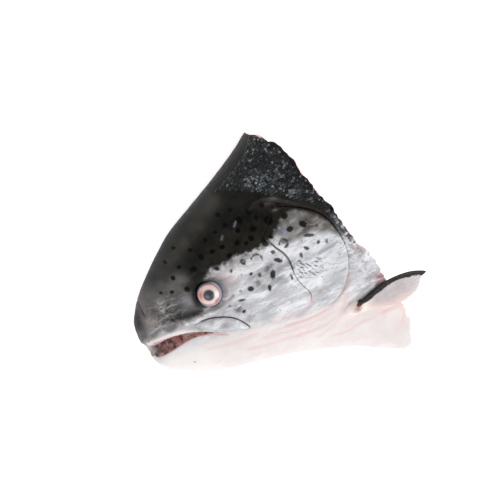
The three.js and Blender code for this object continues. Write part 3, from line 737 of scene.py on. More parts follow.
def dressSkin(thing, p, inner=None):
    x, y, z = p.T
    eyeGap = np.hypot(x - marks["eye"][0], y - marks["eye"][1])
    blotch = 0.5 + 0.5 * ripple(x, y, 2.4, 32)
    giveColour(thing, "paleSkin", palePaint(x, y, eyeGap, blotch))
    giveColour(thing, "darkSkin", darkPaint(x, y, z, eyeGap, blotch))
    silver = (1 - ease(throatLine(x) - y, -6, 4)) * ease(x, 26, 40) * (1 - 0.8 * brownZone(x, y))
    silver = silver * (1 - 0.85 * bell(np.hypot(x - 66, (y - 15) * 0.8), 9))
    silver = silver * (1 - 0.9 * bell(lineDistance(marks["socketUnder"], x, y), 1.8))
    giveNumbers(thing, "silver", silver)
    nearNose = bell(np.hypot((x - 26) / 1.5, y - 18), 8) + bell(np.hypot((x - 20) / 2.2, y - 7), 5)
    giveNumbers(thing, "muzzle", np.clip(nearNose, 0, 1))
    seam = bell(clearOf(plates["gill_plate"], x, y), 2.0) * (loopDistance(gillOutline, x, y) < 2.5)
    giveNumbers(thing, "dull", seam * ease(y, 24, 30))
    giveNumbers(thing, "collar", ease(x, 150, 154) * ease(y, -40, -22))
    giveNumbers(thing, "backGap", -loopDistance(darkLoop, x, y))
    spot, ink, smudge, smudgeInk = spotFields(x, y)
    giveNumbers(thing, "spotGap", spot)
    giveColour(thing, "spotInk", ink)
    giveNumbers(thing, "smudge", smudge)
    giveColour(thing, "smudgeInk", smudgeInk)
    giveNumbers(thing, "strokeGap", strokeField(x, y))
    flush = [strength * bell(lineDistance(path, x, y), reach) for path, reach, strength in marks["folds"]]
    giveNumbers(thing, "flush", np.max(flush, axis=0))
    rear = lineDistance(gillOutline[9:36], x, y) - 0.9 * ease(y, 8, 24) + 0.7 * ease(4 - y, -4, 10)
    front = lineDistance(marks["coverFront"][:9], x, y) - 0.25 * ease(y, -2, 8) + 0.45 * ease(-y, -6, 4)
    # painted shade: dark lines along the snout's fold, the top of the jaw plate, the edges of the gill cover
    # and the groove above it
    creases = [lineDistance(marks["snoutCrease"], x, y), lineDistance(marks["jawPlateTop"], x, y), rear,
               front, lineDistance(marks["coverRise"], x, y) - 0.9]
    giveNumbers(thing, "creaseShadeGap", np.min(creases, axis=0))
    inner = np.zeros(len(p)) if inner is None else inner
    giveNumbers(thing, "inner", inner)
    giveColour(thing, "flesh", fleshPaint(p, inner))


def newMaterial(name):
    material = bpy.data.materials.new(name)
    material.use_nodes = True
    tree = material.node_tree
    return material, tree, tree.nodes["Principled BSDF"]


def put(tree, kind, inputs=None, **settings):
    made = tree.nodes.new(kind)
    for key, value in settings.items():
        setattr(made, key, value)
    for key, value in (inputs or {}).items():
        if isinstance(value, bpy.types.NodeSocket):
            tree.links.new(value, made.inputs[key])
        else:
            made.inputs[key].default_value = value
    return made


def attribute(tree, name, output="Fac"):
    return put(tree, "ShaderNodeAttribute", attribute_name=name).outputs[output]


def sums(tree, kind, a, b=0.0, c=0.0):
    return put(tree, "ShaderNodeMath", {0: a, 1: b, 2: c}, operation=kind).outputs[0]


def ramp(tree, value, low, high):
    return put(tree, "ShaderNodeMapRange", {"Value": value, "From Min": low, "From Max": high},
               interpolation_type="SMOOTHSTEP").outputs[0]


def mixed(tree, amount, a, b, blend="MIX"):
    m = put(tree, "ShaderNodeMix", {0: amount, 6: a, 7: b}, data_type="RGBA", blend_type=blend)
    return m.outputs[2]


# colour laid over another where every mask is strong
def layer(tree, under, colour, strength, *masks):
    amount = masks[0]
    for mask in masks[1:]:
        amount = sums(tree, "MULTIPLY", amount, mask)
    if strength != 1:
        amount = sums(tree, "MULTIPLY", amount, strength)
    return mixed(tree, amount, under, colour)


def grain(tree, scale, detail=3.0, roughness=0.55, vector=None, warp=0.0):
    inputs = {"Scale": scale, "Detail": detail, "Roughness": roughness, "Distortion": warp}
    if vector is None:
        vector = put(tree, "ShaderNodeTexCoord").outputs["Object"]
    inputs["Vector"] = vector
    return put(tree, "ShaderNodeTexNoise", inputs).outputs[0]


# outputs of other nodes are linked to the shader, plain values are set on its sockets
def finish(tree, shader, values):
    for name, value in values.items():
        if isinstance(value, bpy.types.NodeSocket):
            tree.links.new(value, shader.inputs[name])
        else:
            shader.inputs[name].default_value = value


def bump(tree, height, strength, distance, below=None):
    inputs = {"Strength": strength, "Distance": distance, "Height": height}
    if below is not None:
        inputs["Normal"] = below
    return put(tree, "ShaderNodeBump", inputs).outputs[0]


wetSkin = {
    "roughness": 0.30, "specular": 0.16, "coat": 0.05, "coatRoughness": 0.14, "bleed": 0.06,
    "fineGrain": 900, "middleGrain": 260, "broadGrain": 70, "streakGrain": 300, "cloudGrain": 115,
    "foldGrain": 230,
    "sweep": 24,                     # lean of the silver streaks, degrees
    # creases get a painted shade colour; the silver skin gets painted shade, highlight and glint colours
    "creaseShade": rgba(36, 34, 34), "flush": rgba(228, 180, 173), "silverPaintedShade": rgba(140, 140, 145),
    "silverPaintedHighlight": rgba(246, 246, 250), "paintedGlint": rgba(252, 252, 254),
}


# the pale side: silver streaks with painted shade, highlights and glints, smudges, pink folds, painted shade
# in fine wrinkles and the wrinkles of the gill cover
def paleLayers(tree, g):
    silver, collar = attribute(tree, "silver"), attribute(tree, "collar")
    pale = layer(tree, attribute(tree, "paleSkin", "Color"), rgba(250, 249, 250), 0.25,
                 ramp(tree, g["broad"], 0.35, 0.7))
    # painted shade and painted highlight: the silver skin is made darker and lighter in clouds and streaks
    pale = layer(tree, pale, wetSkin["silverPaintedShade"], 0.5, ramp(tree, g["cloud"], 0.5, 0.68), silver)
    pale = layer(tree, pale, wetSkin["silverPaintedHighlight"], 0.75, ramp(tree, g["cloud"], 0.48, 0.34), silver)
    pale = layer(tree, pale, rgba(112, 112, 118), 0.42, ramp(tree, g["streaks"], 0.52, 0.7), silver)
    pale = layer(tree, pale, wetSkin["paintedGlint"], 0.6, ramp(tree, g["streaks"], 0.45, 0.33), silver)
    # painted shade in fine wrinkles: thin dark lines over the silver skin
    wrinkleShade = sums(tree, "ABSOLUTE", sums(tree, "SUBTRACT", g["folds"], 0.52))
    wrinkleShade = ramp(tree, wrinkleShade, 0.022, 0.0)
    pale = layer(tree, pale, rgba(92, 92, 98), 0.55, wrinkleShade, silver, ramp(tree, g["broad"], 0.42, 0.6))
    pale = layer(tree, pale, rgba(110, 110, 116), 0.12, ramp(tree, g["fine"], 0.58, 0.75))
    pale = layer(tree, pale, attribute(tree, "smudgeInk", "Color"), 0.8, attribute(tree, "smudge"),
                 ramp(tree, g["middle"], 0.28, 0.5))
    pale = layer(tree, pale, wetSkin["flush"], 1, attribute(tree, "flush"), ramp(tree, g["broad"], 0.25, 0.6))
    stroke = sums(tree, "ADD", attribute(tree, "strokeGap"), sums(tree, "MULTIPLY", g["tiny"], 0.15))
    pale = layer(tree, pale, rgba(66, 64, 66), 0.8, ramp(tree, stroke, 0.5, 0.12))
    pale = layer(tree, pale, rgba(108, 108, 114), 0.45, ramp(tree, g["middle"], 0.5, 0.62), collar)
    # painted glints on the bumpy collar
    return layer(tree, pale, wetSkin["paintedGlint"], 0.5, ramp(tree, g["fine"], 0.56, 0.64), collar)


# the dark back, with pale scuffs round the nostrils
def darkLayers(tree, g):
    muzzle = attribute(tree, "muzzle")
    dark = layer(tree, attribute(tree, "darkSkin", "Color"), rgba(62, 58, 47), 0.18,
                 ramp(tree, g["broad"], 0.4, 0.75))
    dark = layer(tree, dark, rgba(50, 52, 53), 0.12, ramp(tree, g["middle"], 0.5, 0.7))
    dark = layer(tree, dark, rgba(112, 116, 120), 0.07, ramp(tree, g["fine"], 0.64, 0.75))
    dark = layer(tree, dark, rgba(38, 38, 40), 0.8, ramp(tree, g["streaks"], 0.5, 0.6), muzzle)
    dark = layer(tree, dark, rgba(176, 172, 172), 0.8, ramp(tree, g["streaks"], 0.47, 0.36), muzzle)
    scratch = sums(tree, "ABSOLUTE", sums(tree, "SUBTRACT", g["folds"], 0.48))
    return layer(tree, dark, rgba(196, 196, 200), 0.5, ramp(tree, scratch, 0.016, 0.0), muzzle)


def wetSkinMaterial():
    material, tree, shader = newMaterial("wetFishSkin")
    where = put(tree, "ShaderNodeTexCoord").outputs["Object"]
    turn = (0, 0, math.radians(wetSkin["sweep"]))
    swept = put(tree, "ShaderNodeMapping",
                {"Vector": where, "Rotation": turn, "Scale": (0.35, 1.0, 1.0)}).outputs[0]
    g = {"fine": grain(tree, wetSkin["fineGrain"], 3), "middle": grain(tree, wetSkin["middleGrain"], 3),
         "broad": grain(tree, wetSkin["broadGrain"], 3),
         "streaks": grain(tree, wetSkin["streakGrain"], 5, 0.62, swept, 0.9),
         "cloud": grain(tree, wetSkin["cloudGrain"], 3, 0.55, swept, 0.8),
         "folds": grain(tree, wetSkin["foldGrain"], 3, 0.5, swept, 1.2)}
    g["tiny"] = sums(tree, "MULTIPLY_ADD", g["fine"], 1.1, -0.55)
    pale, dark = paleLayers(tree, g), darkLayers(tree, g)
    edge = sums(tree, "ADD", attribute(tree, "backGap"), sums(tree, "MULTIPLY_ADD", g["middle"], 5.0, -2.5))
    edge = sums(tree, "ADD", edge, g["tiny"])
    pale = layer(tree, pale, rgba(104, 95, 86), 0.6, ramp(tree, edge, -5.5, -0.5),
                 ramp(tree, g["middle"], 0.36, 0.56))
    colour = mixed(tree, ramp(tree, edge, -1.6, 2.0), pale, dark)
    spotEdge = sums(tree, "ADD", attribute(tree, "spotGap"), sums(tree, "MULTIPLY", g["tiny"], 1.7))
    spots = ramp(tree, spotEdge, 0.6, -0.5)
    colour = layer(tree, colour, attribute(tree, "spotInk", "Color"), 0.92, spots)
    # painted shade darkening the creases and the gaps under the plate edges
    creaseShade = sums(tree, "ADD", attribute(tree, "creaseShadeGap"), sums(tree, "MULTIPLY", g["tiny"], 0.4))
    colour = layer(tree, colour, wetSkin["creaseShade"], 0.75, ramp(tree, creaseShade, 0.75, 0.1))
    # flesh shows under a thin edge of skin
    flesh = layer(tree, attribute(tree, "flesh", "Color"), rgba(250, 224, 214), 0.3,
                  ramp(tree, g["middle"], 0.4, 0.7))
    inner = sums(tree, "MULTIPLY_ADD", g["tiny"], 0.3, attribute(tree, "inner"))
    colour = mixed(tree, ramp(tree, inner, 0.35, 0.75), colour, flesh)
    gloss = sums(tree, "MULTIPLY_ADD", ramp(tree, g["middle"], 0.3, 0.7), 0.2, wetSkin["roughness"])
    matte = sums(tree, "MAXIMUM", attribute(tree, "dull"), sums(tree, "MULTIPLY", spots, 0.7))
    specular = sums(tree, "MULTIPLY_ADD", matte, -wetSkin["specular"], wetSkin["specular"])
    relief = bump(tree, g["streaks"], 0.4, 0.0007)
    relief = bump(tree, g["middle"], 0.5, 0.0007, relief)
    relief = bump(tree, g["fine"], 0.35, 0.00025, relief)
    finish(tree, shader, {"Base Color": colour, "Roughness": gloss, "Specular IOR Level": specular,
                          "Coat Weight": wetSkin["coat"], "Coat Roughness": wetSkin["coatRoughness"],
                          "Subsurface Weight": wetSkin["bleed"], "Subsurface Scale": 1.0,
                          "Subsurface Radius": (0.004, 0.002, 0.0015), "Normal": relief})
    return material


def headDepths(p):
    x, y, z = p.T
    inner = skinRelief(x, y) - skinDistance(x, y, z)
    hidden = np.minimum(loopDistance(gillOutline, x, y), loopDistance(jawOutline, x, y) + 0.8)
    hidden = np.minimum(hidden, np.hypot(x - marks["eye"][0], y - marks["eye"][1]) - 9.5)
    inner = np.where((hidden < 1.6) & (z > 8), 0.0, inner)             # seats of the plates and the eye
    inner = np.where((x < 5) & (np.abs(y + 3) > 5) & (z > 1.5), 0.0, inner)     # blunt tip of the snout
    return inner - 2.0 * ease(y, 60, 88) * ease(z, 1.5, 3.0)           # thicker skin on the nape


skinMaterial = wetSkinMaterial()
headPoints, headFaces = buildHead()
head = meshObject("head_flesh", headPoints, headFaces)
dressSkin(head, headPoints, headDepths(headPoints))
head.data.materials.append(skinMaterial)
print("head faces", len(headFaces))

print("nape scales")
napeScale = {"spacing": 1.9, "length": 1.45, "width": 1.15, "thickness": 0.34, "tilt": 16.0, "jitter": 0.35,
             "seed": 7}


def scalePlaces():
    spots = []
    gap = napeScale["spacing"] * 1
    for row, px in enumerate(np.arange(82, 172, gap * 0.86)):
        top = follow(profile["nape"], 100 * px / headSpace["length"]) * headSpace["length"] / 100
        py = top - np.linspace(0.02, 1, 400) ** 2 * (top + 6)
        pz = skinHeight(np.full_like(py, px), py)
        run = np.concatenate([[0], np.cumsum(np.hypot(np.diff(py), np.diff(pz)))])
        wanted = np.arange(0.6 + (row % 2) * gap / 2, run[-1], gap)
        sy, sz = np.interp(wanted, run, py), np.interp(wanted, run, pz)
        sx = np.full_like(sy, px)
        keep = (loopDistance(scaleLoop, sx, sy) < -0.8) & (loopDistance(neckLoop, sx, sy) < -2.2) & (sz > 0.9)
        keep &= (loopDistance(gillOutline, sx, sy) > 3.2) & (sy > -7)
        spots += list(zip(sx[keep], sy[keep], sz[keep]))
    p = np.array(spots)
    n = np.stack([ovalLevel(*(p + step).T) - ovalLevel(*(p - step).T) for step in 0.3 * np.eye(3)], axis=-1)
    n /= np.linalg.norm(n, axis=1, keepdims=True)
    return p + n * skinRelief(p[:, 0], p[:, 1])[:, None], n


def randomBetween(tree, low, high, seed):
    return put(tree, "FunctionNodeRandomValue", {2: low, 3: high, "Seed": seed}, data_type="FLOAT").outputs[1]


def scaleTree():
    tree = bpy.data.node_groups.new("napeScales", "GeometryNodeTree")
    tree.interface.new_socket("Geometry", in_out="INPUT", socket_type="NodeSocketGeometry")
    for name in ("length", "width", "thickness", "tilt", "jitter"):
        tree.interface.new_socket(name, in_out="INPUT", socket_type="NodeSocketFloat")
    tree.interface.new_socket("seed", in_out="INPUT", socket_type="NodeSocketInt")
    tree.interface.new_socket("finish", in_out="INPUT", socket_type="NodeSocketMaterial")
    tree.interface.new_socket("Geometry", in_out="OUTPUT", socket_type="NodeSocketGeometry")
    given = put(tree, "NodeGroupInput").outputs
    ball = put(tree, "GeometryNodeMeshUVSphere", {"Segments": 8, "Rings": 5, "Radius": 1.0}).outputs["Mesh"]
    size = put(tree, "ShaderNodeCombineXYZ",
               {0: given["length"], 1: given["width"], 2: given["thickness"]}).outputs[0]
    flake = put(tree, "GeometryNodeTransform", {"Geometry": ball, "Scale": size}).outputs[0]
    flake = put(tree, "GeometryNodeSetShadeSmooth", {"Geometry": flake}).outputs[0]
    outward = put(tree, "GeometryNodeInputNamedAttribute", {"Name": "outward"},
                  data_type="FLOAT_VECTOR").outputs[0]
    turn = put(tree, "FunctionNodeAlignRotationToVector", {"Vector": outward}, axis="Z").outputs[0]
    turn = put(tree, "FunctionNodeAlignRotationToVector", {"Rotation": turn, "Vector": (1.0, 0.25, 0.0)},
               axis="X", pivot_axis="Z").outputs[0]
    wag = randomBetween(tree, -0.35, 0.35, given["seed"])
    lift = sums(tree, "MULTIPLY", given["tilt"], -1.0)
    lean = put(tree, "ShaderNodeCombineXYZ", {1: lift, 2: wag}).outputs[0]
    lean = put(tree, "FunctionNodeEulerToRotation", {0: lean}).outputs[0]
    turn = put(tree, "FunctionNodeRotateRotation", {0: turn, 1: lean}, rotation_space="LOCAL").outputs[0]
    low = sums(tree, "SUBTRACT", 1.0, given["jitter"])
    high = sums(tree, "ADD", 1.0, sums(tree, "MULTIPLY", given["jitter"], 0.5))
    grow = randomBetween(tree, low, high, given["seed"])
    dots = put(tree, "GeometryNodeMeshToPoints", {"Mesh": given["Geometry"]}).outputs[0]
    flakes = put(tree, "GeometryNodeInstanceOnPoints",
                 {"Points": dots, "Instance": flake, "Rotation": turn, "Scale": grow}).outputs[0]
    other = sums(tree, "ADD", given["seed"], 11.0)
    flakeGlint = randomBetween(tree, 0.0, 1.0, other)
    flakes = put(tree, "GeometryNodeStoreNamedAttribute",
                 {"Geometry": flakes, "Name": "flakeGlint", "Value": flakeGlint}, data_type="FLOAT",
                 domain="INSTANCE").outputs[0]
    whole = put(tree, "GeometryNodeRealizeInstances", {0: flakes}).outputs[0]
    whole = put(tree, "GeometryNodeSetMaterial", {"Geometry": whole, "Material": given["finish"]}).outputs[0]
    put(tree, "NodeGroupOutput", {0: whole})
    return tree


def scaleMaterial():
    material, tree, shader = newMaterial("napeScale")
    fine, patch, speck = grain(tree, 700, 3), grain(tree, 75, 2), grain(tree, 1900, 2)
    flakeGlint = attribute(tree, "flakeGlint")
    colour = mixed(tree, ramp(tree, fine, 0.4, 0.75), rgba(5, 5, 6), rgba(26, 28, 30))
    # painted glints: flakes with a high random value are painted lighter in patches, the brightest nearly
    # white
    patches = sums(tree, "MULTIPLY_ADD", ramp(tree, patch, 0.36, 0.62), 0.6, 0.35)
    colour = layer(tree, colour, rgba(104, 110, 116), 0.75, ramp(tree, flakeGlint, 0.35, 0.9),
                   ramp(tree, speck, 0.46, 0.58), patches)
    colour = layer(tree, colour, rgba(176, 182, 188), 0.7, ramp(tree, flakeGlint, 0.86, 1.0),
                   ramp(tree, speck, 0.46, 0.56))
    # collar flakes run from grey-blue to silver by the same random value, partly their own silver and partly
    # painted glints
    silver = mixed(tree, ramp(tree, flakeGlint, 0.2, 0.9), rgba(74, 80, 88), rgba(206, 204, 210))
    silver = layer(tree, silver, rgba(196, 150, 148), 0.6, ramp(tree, patch, 0.55, 0.7))
    colour = mixed(tree, attribute(tree, "collar"), colour, silver)
    colour = layer(tree, colour, rgba(196, 206, 218), 0.85, attribute(tree, "sheen"),
                   ramp(tree, speck, 0.4, 0.52))
    finish(tree, shader, {"Base Color": colour, "Roughness": sums(tree, "MULTIPLY_ADD", fine, 0.35, 0.12),
                          "Normal": bump(tree, fine, 0.8, 0.0004), "Specular IOR Level": 0.3})
    return material


# where loose scales catch the light: centre, stretch along x, strength, reach
sheenSpots = [(123, 63.5, 1.3, 1.0, 4.5), (134, 63, 1.0, 0.5, 3.5), (139, 47.5, 1.3, 0.5, 3.5)]


def growScales():
    places, facing = scalePlaces()
    carrier = meshObject("scale_places", places, [], smooth=False)
    outward = carrier.data.attributes.new("outward", "FLOAT_VECTOR", "POINT")
    outward.data.foreach_set("vector", facing.astype(np.float32).ravel())
    cluster = 0.0
    for cx, cy, stretch, strength, reach in sheenSpots:
        near = bell(np.hypot((places[:, 0] - cx) / stretch, places[:, 1] - cy), reach)
        cluster = np.maximum(cluster, strength * near)
    cluster = cluster * np.random.default_rng(napeScale["seed"]).uniform(-0.4, 1.0, len(places))
    giveNumbers(carrier, "sheen", np.clip(cluster, 0, 1))
    giveNumbers(carrier, "collar", ease(27 - places[:, 1] + 0.25 * (places[:, 0] - 150), 0, 24))
    tree = scaleTree()
    modifier = carrier.modifiers.new("scales", "NODES")
    modifier.node_group = tree
    wide = 1.0
    values = {"length": napeScale["length"] * wide / 1000, "width": napeScale["width"] * wide / 1000,
              "thickness": napeScale["thickness"] / 1000, "tilt": math.radians(napeScale["tilt"]),
              "jitter": napeScale["jitter"], "seed": napeScale["seed"], "finish": scaleMaterial()}
    for socket in tree.interface.items_tree:
        if socket.in_out == "INPUT" and socket.name in values:
            modifier[socket.identifier] = values[socket.name]
    bpy.context.view_layer.update()
    grown = carrier.evaluated_get(bpy.context.evaluated_depsgraph_get())
    scales = bpy.data.objects.new("nape_scales", bpy.data.meshes.new_from_object(grown))
    bpy.context.collection.objects.link(scales)
    carrier.modifiers.remove(modifier)
    bpy.data.objects.remove(carrier)
    print("scales", len(places), "faces", len(scales.data.polygons))
    return scales


napeScales = growScales()

print("gill cover and jaw plate")


def buildPlate(name, plate):
    spacing = plate["spacing"] * 1
    low = [*(plate["outline"].min(axis=0) - 3), 4.0]
    high = [*(plate["outline"].max(axis=0) + 3), 46.0]
    x, y, z = gridAxes(low, high, spacing)
    flatX, flatY = x[:, :, 0], y[:, :, 0]
    skin = skinDistance(x, y, z) - skinRelief(flatX, flatY)[:, :, None]
    edge = loopDistance(plate["outline"], flatX, flatY)
    clear = clearOf(plate, flatX, flatY)
    swell = 0.12 * ripple(flatX, flatY, 3, 52)
    stand = 0.1 + (plate["proud"] - 0.1) * ease(clear, 0.8, plate["rise"]) - 1.3 * ease(-clear, 0.2, 2.2)
    if plate["node"] == "jaw_plate":
        swell = swell + 0.4 * bell(edge + 2.2, 1.2)
        # the lower edge rolls into the lip
        stand = stand - 0.75 * ease(-4.5 - 0.62 * (flatX - 44) - flatY, -1, 3)
    else:
        stand = stand - 0.75 * bell(lineDistance(marks["coverFront"][:9], flatX, flatY), 3.0)
    body = cut(skin - (stand + swell)[:, :, None], -(skin + plate["inset"]), 0.9)
    body = cut(body, z - 42.4, 1.0)
    grow = 0.05
    if plate["node"] == "jaw_plate":
        grow = 0.05 + 0.8 * ease(-6.5 - 0.62 * (flatX - 44) - flatY, -1, 1)
    body = cut(body, (edge - grow)[:, :, None] + 0 * z, 0.8)
    body = cut(body, (-1.8 - clear)[:, :, None] + 0 * z, 0.8)
    points, faces = fieldMesh(body, low, spacing)
    thing = meshObject(name, points, faces)
    dressSkin(thing, points)
    thing.data.materials.append(skinMaterial)
    return thing


gillCover = buildPlate("gill_plate", plates["gill_plate"])
jawPlate = buildPlate("jaw_bone", plates["jaw_bone"])

print("eye")


def eyeMaterial():
    material, tree, shader = newMaterial("fishEye")
    fine = grain(tree, 1400, 3)
    r = sums(tree, "ADD", attribute(tree, "radial"), sums(tree, "MULTIPLY_ADD", fine, 0.7, -0.35))
    iris = mixed(tree, ramp(tree, fine, 0.35, 0.65), rgba(238, 218, 213), rgba(226, 196, 191))
    iris = layer(tree, iris, rgba(226, 172, 168), 0.7, ramp(tree, r, 5.4, 7.6))
    iris = layer(tree, iris, rgba(248, 238, 234), 1, attribute(tree, "bright"))
    iris = layer(tree, iris, rgba(186, 78, 74), 0.9, attribute(tree, "blood"))
    colour = mixed(tree, ramp(tree, r, 3.5, 3.9), rgba(66, 70, 78), iris)
    colour = layer(tree, colour, rgba(62, 54, 60), 1, ramp(tree, r, 1.6, 0.6))  # cloud in the lens
    colour = layer(tree, colour, rgba(150, 110, 100), 0.5, ramp(tree, r, 3.6, 3.9), ramp(tree, r, 4.6, 4.1))
    colour = layer(tree, colour, rgba(150, 112, 112), 1, ramp(tree, r, 7.0, 7.3))
    rim = mixed(tree, attribute(tree, "shade"), rgba(172, 176, 186), rgba(10, 11, 12))
    colour = mixed(tree, ramp(tree, r, 7.5, 7.9), colour, rim)
    finish(tree, shader, {"Base Color": colour, "Normal": bump(tree, fine, 0.25, 0.0002),
                          "Roughness": 0.22, "Coat Weight": 0.35, "Coat Roughness": 0.1})
    return material


# red patches of the iris: turn in degrees, reach round the eye, width and radius
bloodPatches = [(25, 0.62, 1.5, 5.7), (301, 0.5, 0.6, 7.2), (246, 0.28, 1.1, 6.9), (95, 0.5, 0.5, 7.3)]


def turnFrom(around, degrees):
    return np.abs((around - math.radians(degrees) + math.pi) % (2 * math.pi) - math.pi)


def buildEye():
    rings, spokes = 40, 64
    side = np.cross(eyeOut, [0, 1, 0])
    side /= np.linalg.norm(side)
    up = np.cross(side, eyeOut)
    points, radial, around = [], [], []
    angles = np.linspace(0, math.pi, rings + 1)
    for i, a in enumerate(angles):
        across = math.sin(a) * eyeSet["radius"]
        n = math.cos(a) * eyeSet["half"]
        if math.cos(a) > 0:                                   # flatter iris with a bulging lens
            n = n * 0.86 + 0.9 * math.exp(-((across / 3.4) ** 2))
        count = 1 if i in (0, rings) else spokes
        for k in range(count):
            t = 2 * math.pi * k / spokes
            points.append(eyeCentre + side * across * math.cos(t) + up * across * math.sin(t) + eyeOut * n)
            radial.append(across if math.cos(a) > 0 else 9.5)
            around.append(t)
    faces = []
    first = lambda i: 0 if i == 0 else 1 + (i - 1) * spokes
    for k in range(spokes):
        k2 = (k + 1) % spokes
        faces.append([0, first(1) + k, first(1) + k2])
        for i in range(1, rings - 1):
            faces.append([first(i) + k, first(i + 1) + k, first(i + 1) + k2, first(i) + k2])
        faces.append([first(rings - 1) + k, len(points) - 1, first(rings - 1) + k2])
    thing = meshObject("eye_ball", np.array(points), faces)
    radial, around = np.array(radial), np.array(around)
    giveNumbers(thing, "radial", radial)
    p = np.array(points)
    patches = 0.0
    for turn, reach, wide, middle in bloodPatches:
        patches = np.maximum(patches, bell(turnFrom(around, turn), reach) * bell(radial - middle, wide))
    giveNumbers(thing, "blood", patches)
    giveNumbers(thing, "bright", bell(turnFrom(around, 205), 0.9) * bell(radial - 5.0, 1.1))
    tilt = (p[:, 1] - marks["eye"][1]) - 0.9 * (p[:, 0] - marks["eye"][0])
    giveNumbers(thing, "shade", ease(tilt, -3, 7))
    thing.data.materials.append(eyeMaterial())
    return thing


eye = buildEye()

print("fin")
finLead = [(142, -46.2), (146.9, -44.4), (155.8, -41.9), (164.1, -41.1), (172.6, -41.6), (181.1, -43.4),
           (188.9, -46.4), (197.4, -52.0)]


def finMaterial():
    material, tree, shader = newMaterial("wetFin")
    fine, broad = grain(tree, 1100, 3), grain(tree, 160, 3)
    lead = sums(tree, "ADD", attribute(tree, "leadGap"), sums(tree, "MULTIPLY_ADD", fine, 1.0, -0.5))
    lead = sums(tree, "ADD", lead, sums(tree, "MULTIPLY_ADD", broad, 3.0, -1.5))
    web = mixed(tree, ramp(tree, broad, 0.3, 0.7), rgba(206, 196, 196), rgba(188, 181, 184))
    web = layer(tree, web, rgba(238, 214, 208), 0.8, attribute(tree, "blush"))
    web = layer(tree, web, rgba(176, 168, 170), 0.35, attribute(tree, "rayLine"))
    web = layer(tree, web, rgba(196, 204, 210), 0.5, attribute(tree, "rim"))
    web = layer(tree, web, rgba(250, 236, 231), 1, attribute(tree, "rootFade"))
    edge = mixed(tree, ramp(tree, fine, 0.42, 0.75), rgba(12, 10, 9), rgba(66, 54, 44))
    colour = mixed(tree, ramp(tree, lead, 3.6, 2.7), web, edge)
    colour = layer(tree, colour, rgba(150, 92, 86), 1, attribute(tree, "rootRed"))
    finish(tree, shader, {"Base Color": colour, "Normal": bump(tree, fine, 0.4, 0.0003), "Roughness": 0.38,
                          "Specular IOR Level": 0.22, "Coat Weight": 0.08, "Coat Roughness": 0.15,
                          "Subsurface Weight": 0.12, "Subsurface Radius": (0.003, 0.002, 0.0015),
                          "Subsurface Scale": 1.0})
    return material


finSet = {"spacing": 0.5, "rootX": 141.0, "rootY": -47.4, "rayGap": 2.1}


# cosine of the fan of rays that spreads from the root
def finRays(x, y):
    return np.cos(np.arctan2(y + 46.0, x - 133.0) * 46 * 2 * math.pi / finSet["rayGap"])


def buildFin():
    spacing = finSet["spacing"]
    low = [*(finOutline.min(axis=0) - 8), 18.0]
    high = [*(finOutline.max(axis=0) + 3), 44.0]
    x, y, z = gridAxes(low, high, spacing)
    flatX, flatY = x[:, :, 0], y[:, :, 0]
    skin = skinDistance(x, y, z)
    edge = loopDistance(finOutline, flatX, flatY)
    lead = lineDistance(finLead, flatX, flatY)
    thick = 1.1 + 1.3 * bell(lead, 5.0)
    ridges = 0.22 * finRays(flatX, flatY) * ease(lead, 2, 5)
    droop = 0.5 * ripple(flatX, flatY, 12, 61) * ease(flatX, 160, 175)
    body = cut(skin - (0.35 + thick + ridges)[:, :, None] + droop[:, :, None],
               -(skin - 0.35 + droop[:, :, None]), 0.8)
    body = cut(body, edge[:, :, None] + 0 * z, 1.0)
    rootX, rootY = finSet["rootX"], finSet["rootY"]
    rootZ = float(skinHeight(rootX, rootY))
    root = np.sqrt(((x - rootX) / 8.2) ** 2 + ((y - rootY) / 4.8) ** 2 + ((z - rootZ) / 4.0) ** 2 + 1e-9)
    body = join(body, (root - 1) * 4.5, 2.0)
    points, faces = fieldMesh(body, low, spacing)
    thing = meshObject("fin_blade", points, faces)
    px, py = points.T[:2]
    giveNumbers(thing, "leadGap",
                lineDistance(finLead, px, py) + 2.0 * ease(151 - px, 0, 11) - 0.9 * bell(px - 158, 9))
    giveNumbers(thing, "rootFade", 0.9 * ease(151 - px, -4, 9))
    giveNumbers(thing, "rootRed", 0.75 * bell(np.hypot(px - 141, py + 48.5), 3.0))
    giveNumbers(thing, "blush", bell(loopDistance(finOutline, px, py) + 1, 4) * ease(-48 - py, 0, 8)
                + ease(150 - px, -8, 8))
    giveNumbers(thing, "rayLine", ease(finRays(px, py), 0.2, 1.0) * ease(px, 150, 158) * 0.6)
    giveNumbers(thing, "rim", ease(px, 176, 190))
    thing.data.materials.append(finMaterial())
    return thing


fin = buildFin()

dressed = [(head, "head", "skin"), (napeScales, "head", "skin"), (gillCover, "gill_cover", "silver_plate"),
           (jawPlate, "jaw_plate", "silver_plate"), (eye, "eye", "eye"), (fin, "pectoral_fin", "fin")]
for piece, node, slotName in dressed:
    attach(piece, "root")
    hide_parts(node)

print("floor, light and camera")
studio = {"floorSize": 6.0, "floorColour": rgba(246, 246, 247), "key": 8.0, "fill": 5.0, "sky": 0.85,
          "ceiling": 0.12, "glow": 0.55}


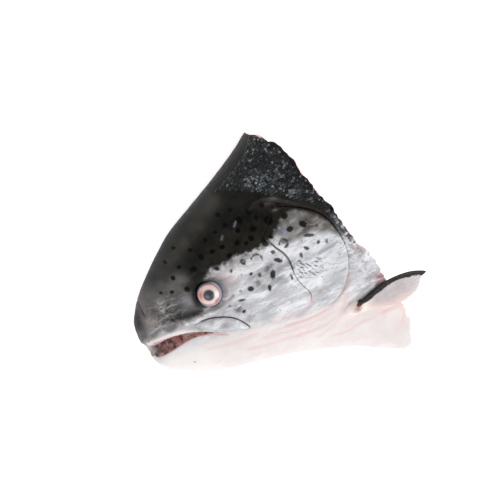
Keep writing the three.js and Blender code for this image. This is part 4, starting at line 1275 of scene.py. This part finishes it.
def buildStudio():
    mesh = bpy.data.meshes.new("floor")
    s = studio["floorSize"] / 2
    mesh.from_pydata([(-s, -s, 0), (s, -s, 0), (s, s, 0), (-s, s, 0)], [], [(0, 1, 2, 3)])
    floor = bpy.data.objects.new("floor", mesh)
    bpy.context.collection.objects.link(floor)
    material, tree, shader = newMaterial("paleFloor")
    finish(tree, shader, {"Base Color": studio["floorColour"], "Roughness": 0.9,
                          "Emission Color": (1, 1, 1, 1), "Emission Strength": studio["glow"]})
    mesh.materials.append(material)
    world = bpy.data.worlds.new("studioSky")
    world.use_nodes = True
    sky = world.node_tree                                     # bright walls, darker ceiling
    height = put(sky, "ShaderNodeSeparateXYZ",
                 {0: put(sky, "ShaderNodeTexCoord").outputs["Generated"]}).outputs[2]
    fade = put(sky, "ShaderNodeMapRange", {"Value": height, "From Min": 0.45, "From Max": 0.95,
                                           "To Min": studio["sky"], "To Max": studio["ceiling"]}).outputs[0]
    sky.links.new(fade, sky.nodes["Background"].inputs[1])
    sky.nodes["Background"].inputs[0].default_value = (1, 1, 1, 1)
    bpy.context.scene.world = world
    for name, place, size, power in (("keyLight", (0.75, -0.65, 0.95), 0.8, studio["key"]),
                                     ("fillLight", (-0.8, -0.3, 0.95), 0.9, studio["fill"])):
        light = bpy.data.lights.new(name, "AREA")
        light.size = size
        light.energy = power
        lamp = bpy.data.objects.new(name, light)
        lamp.location = place
        lamp.rotation_euler = (-Vector(place)).to_track_quat("-Z", "Y").to_euler()
        bpy.context.collection.objects.link(lamp)


buildStudio()
shot = {"towardSnout": 0.15, "towardNape": 0.20, "roll": 31.0, "distance": 1.1, "lens": 117.86,
        "centre": (97.17, 29.86, 0.0)}


def buildCamera():
    f, u = shot["towardSnout"], shot["towardNape"]
    back = Vector((-f, u, math.sqrt(1 - f * f - u * u)))
    ahead = Vector((1, 0, 0))
    ahead = (ahead - ahead.dot(back) * back).normalized()
    side = back.cross(ahead)
    roll = math.radians(shot["roll"])
    right = math.cos(roll) * ahead - math.sin(roll) * side
    up = back.cross(right)
    data = bpy.data.cameras.new("camera")
    data.lens = shot["lens"]
    data.sensor_width = 36
    data.clip_end = 50
    camera = bpy.data.objects.new("camera", data)
    place = Vector(toRow(shot["centre"])) + back * shot["distance"]
    camera.matrix_world = Matrix.Translation(place) @ Matrix((right, up, back)).transposed().to_4x4()
    bpy.context.collection.objects.link(camera)
    bpy.context.scene.camera = camera


buildCamera()
bpy.context.scene.view_settings.view_transform = "Standard"
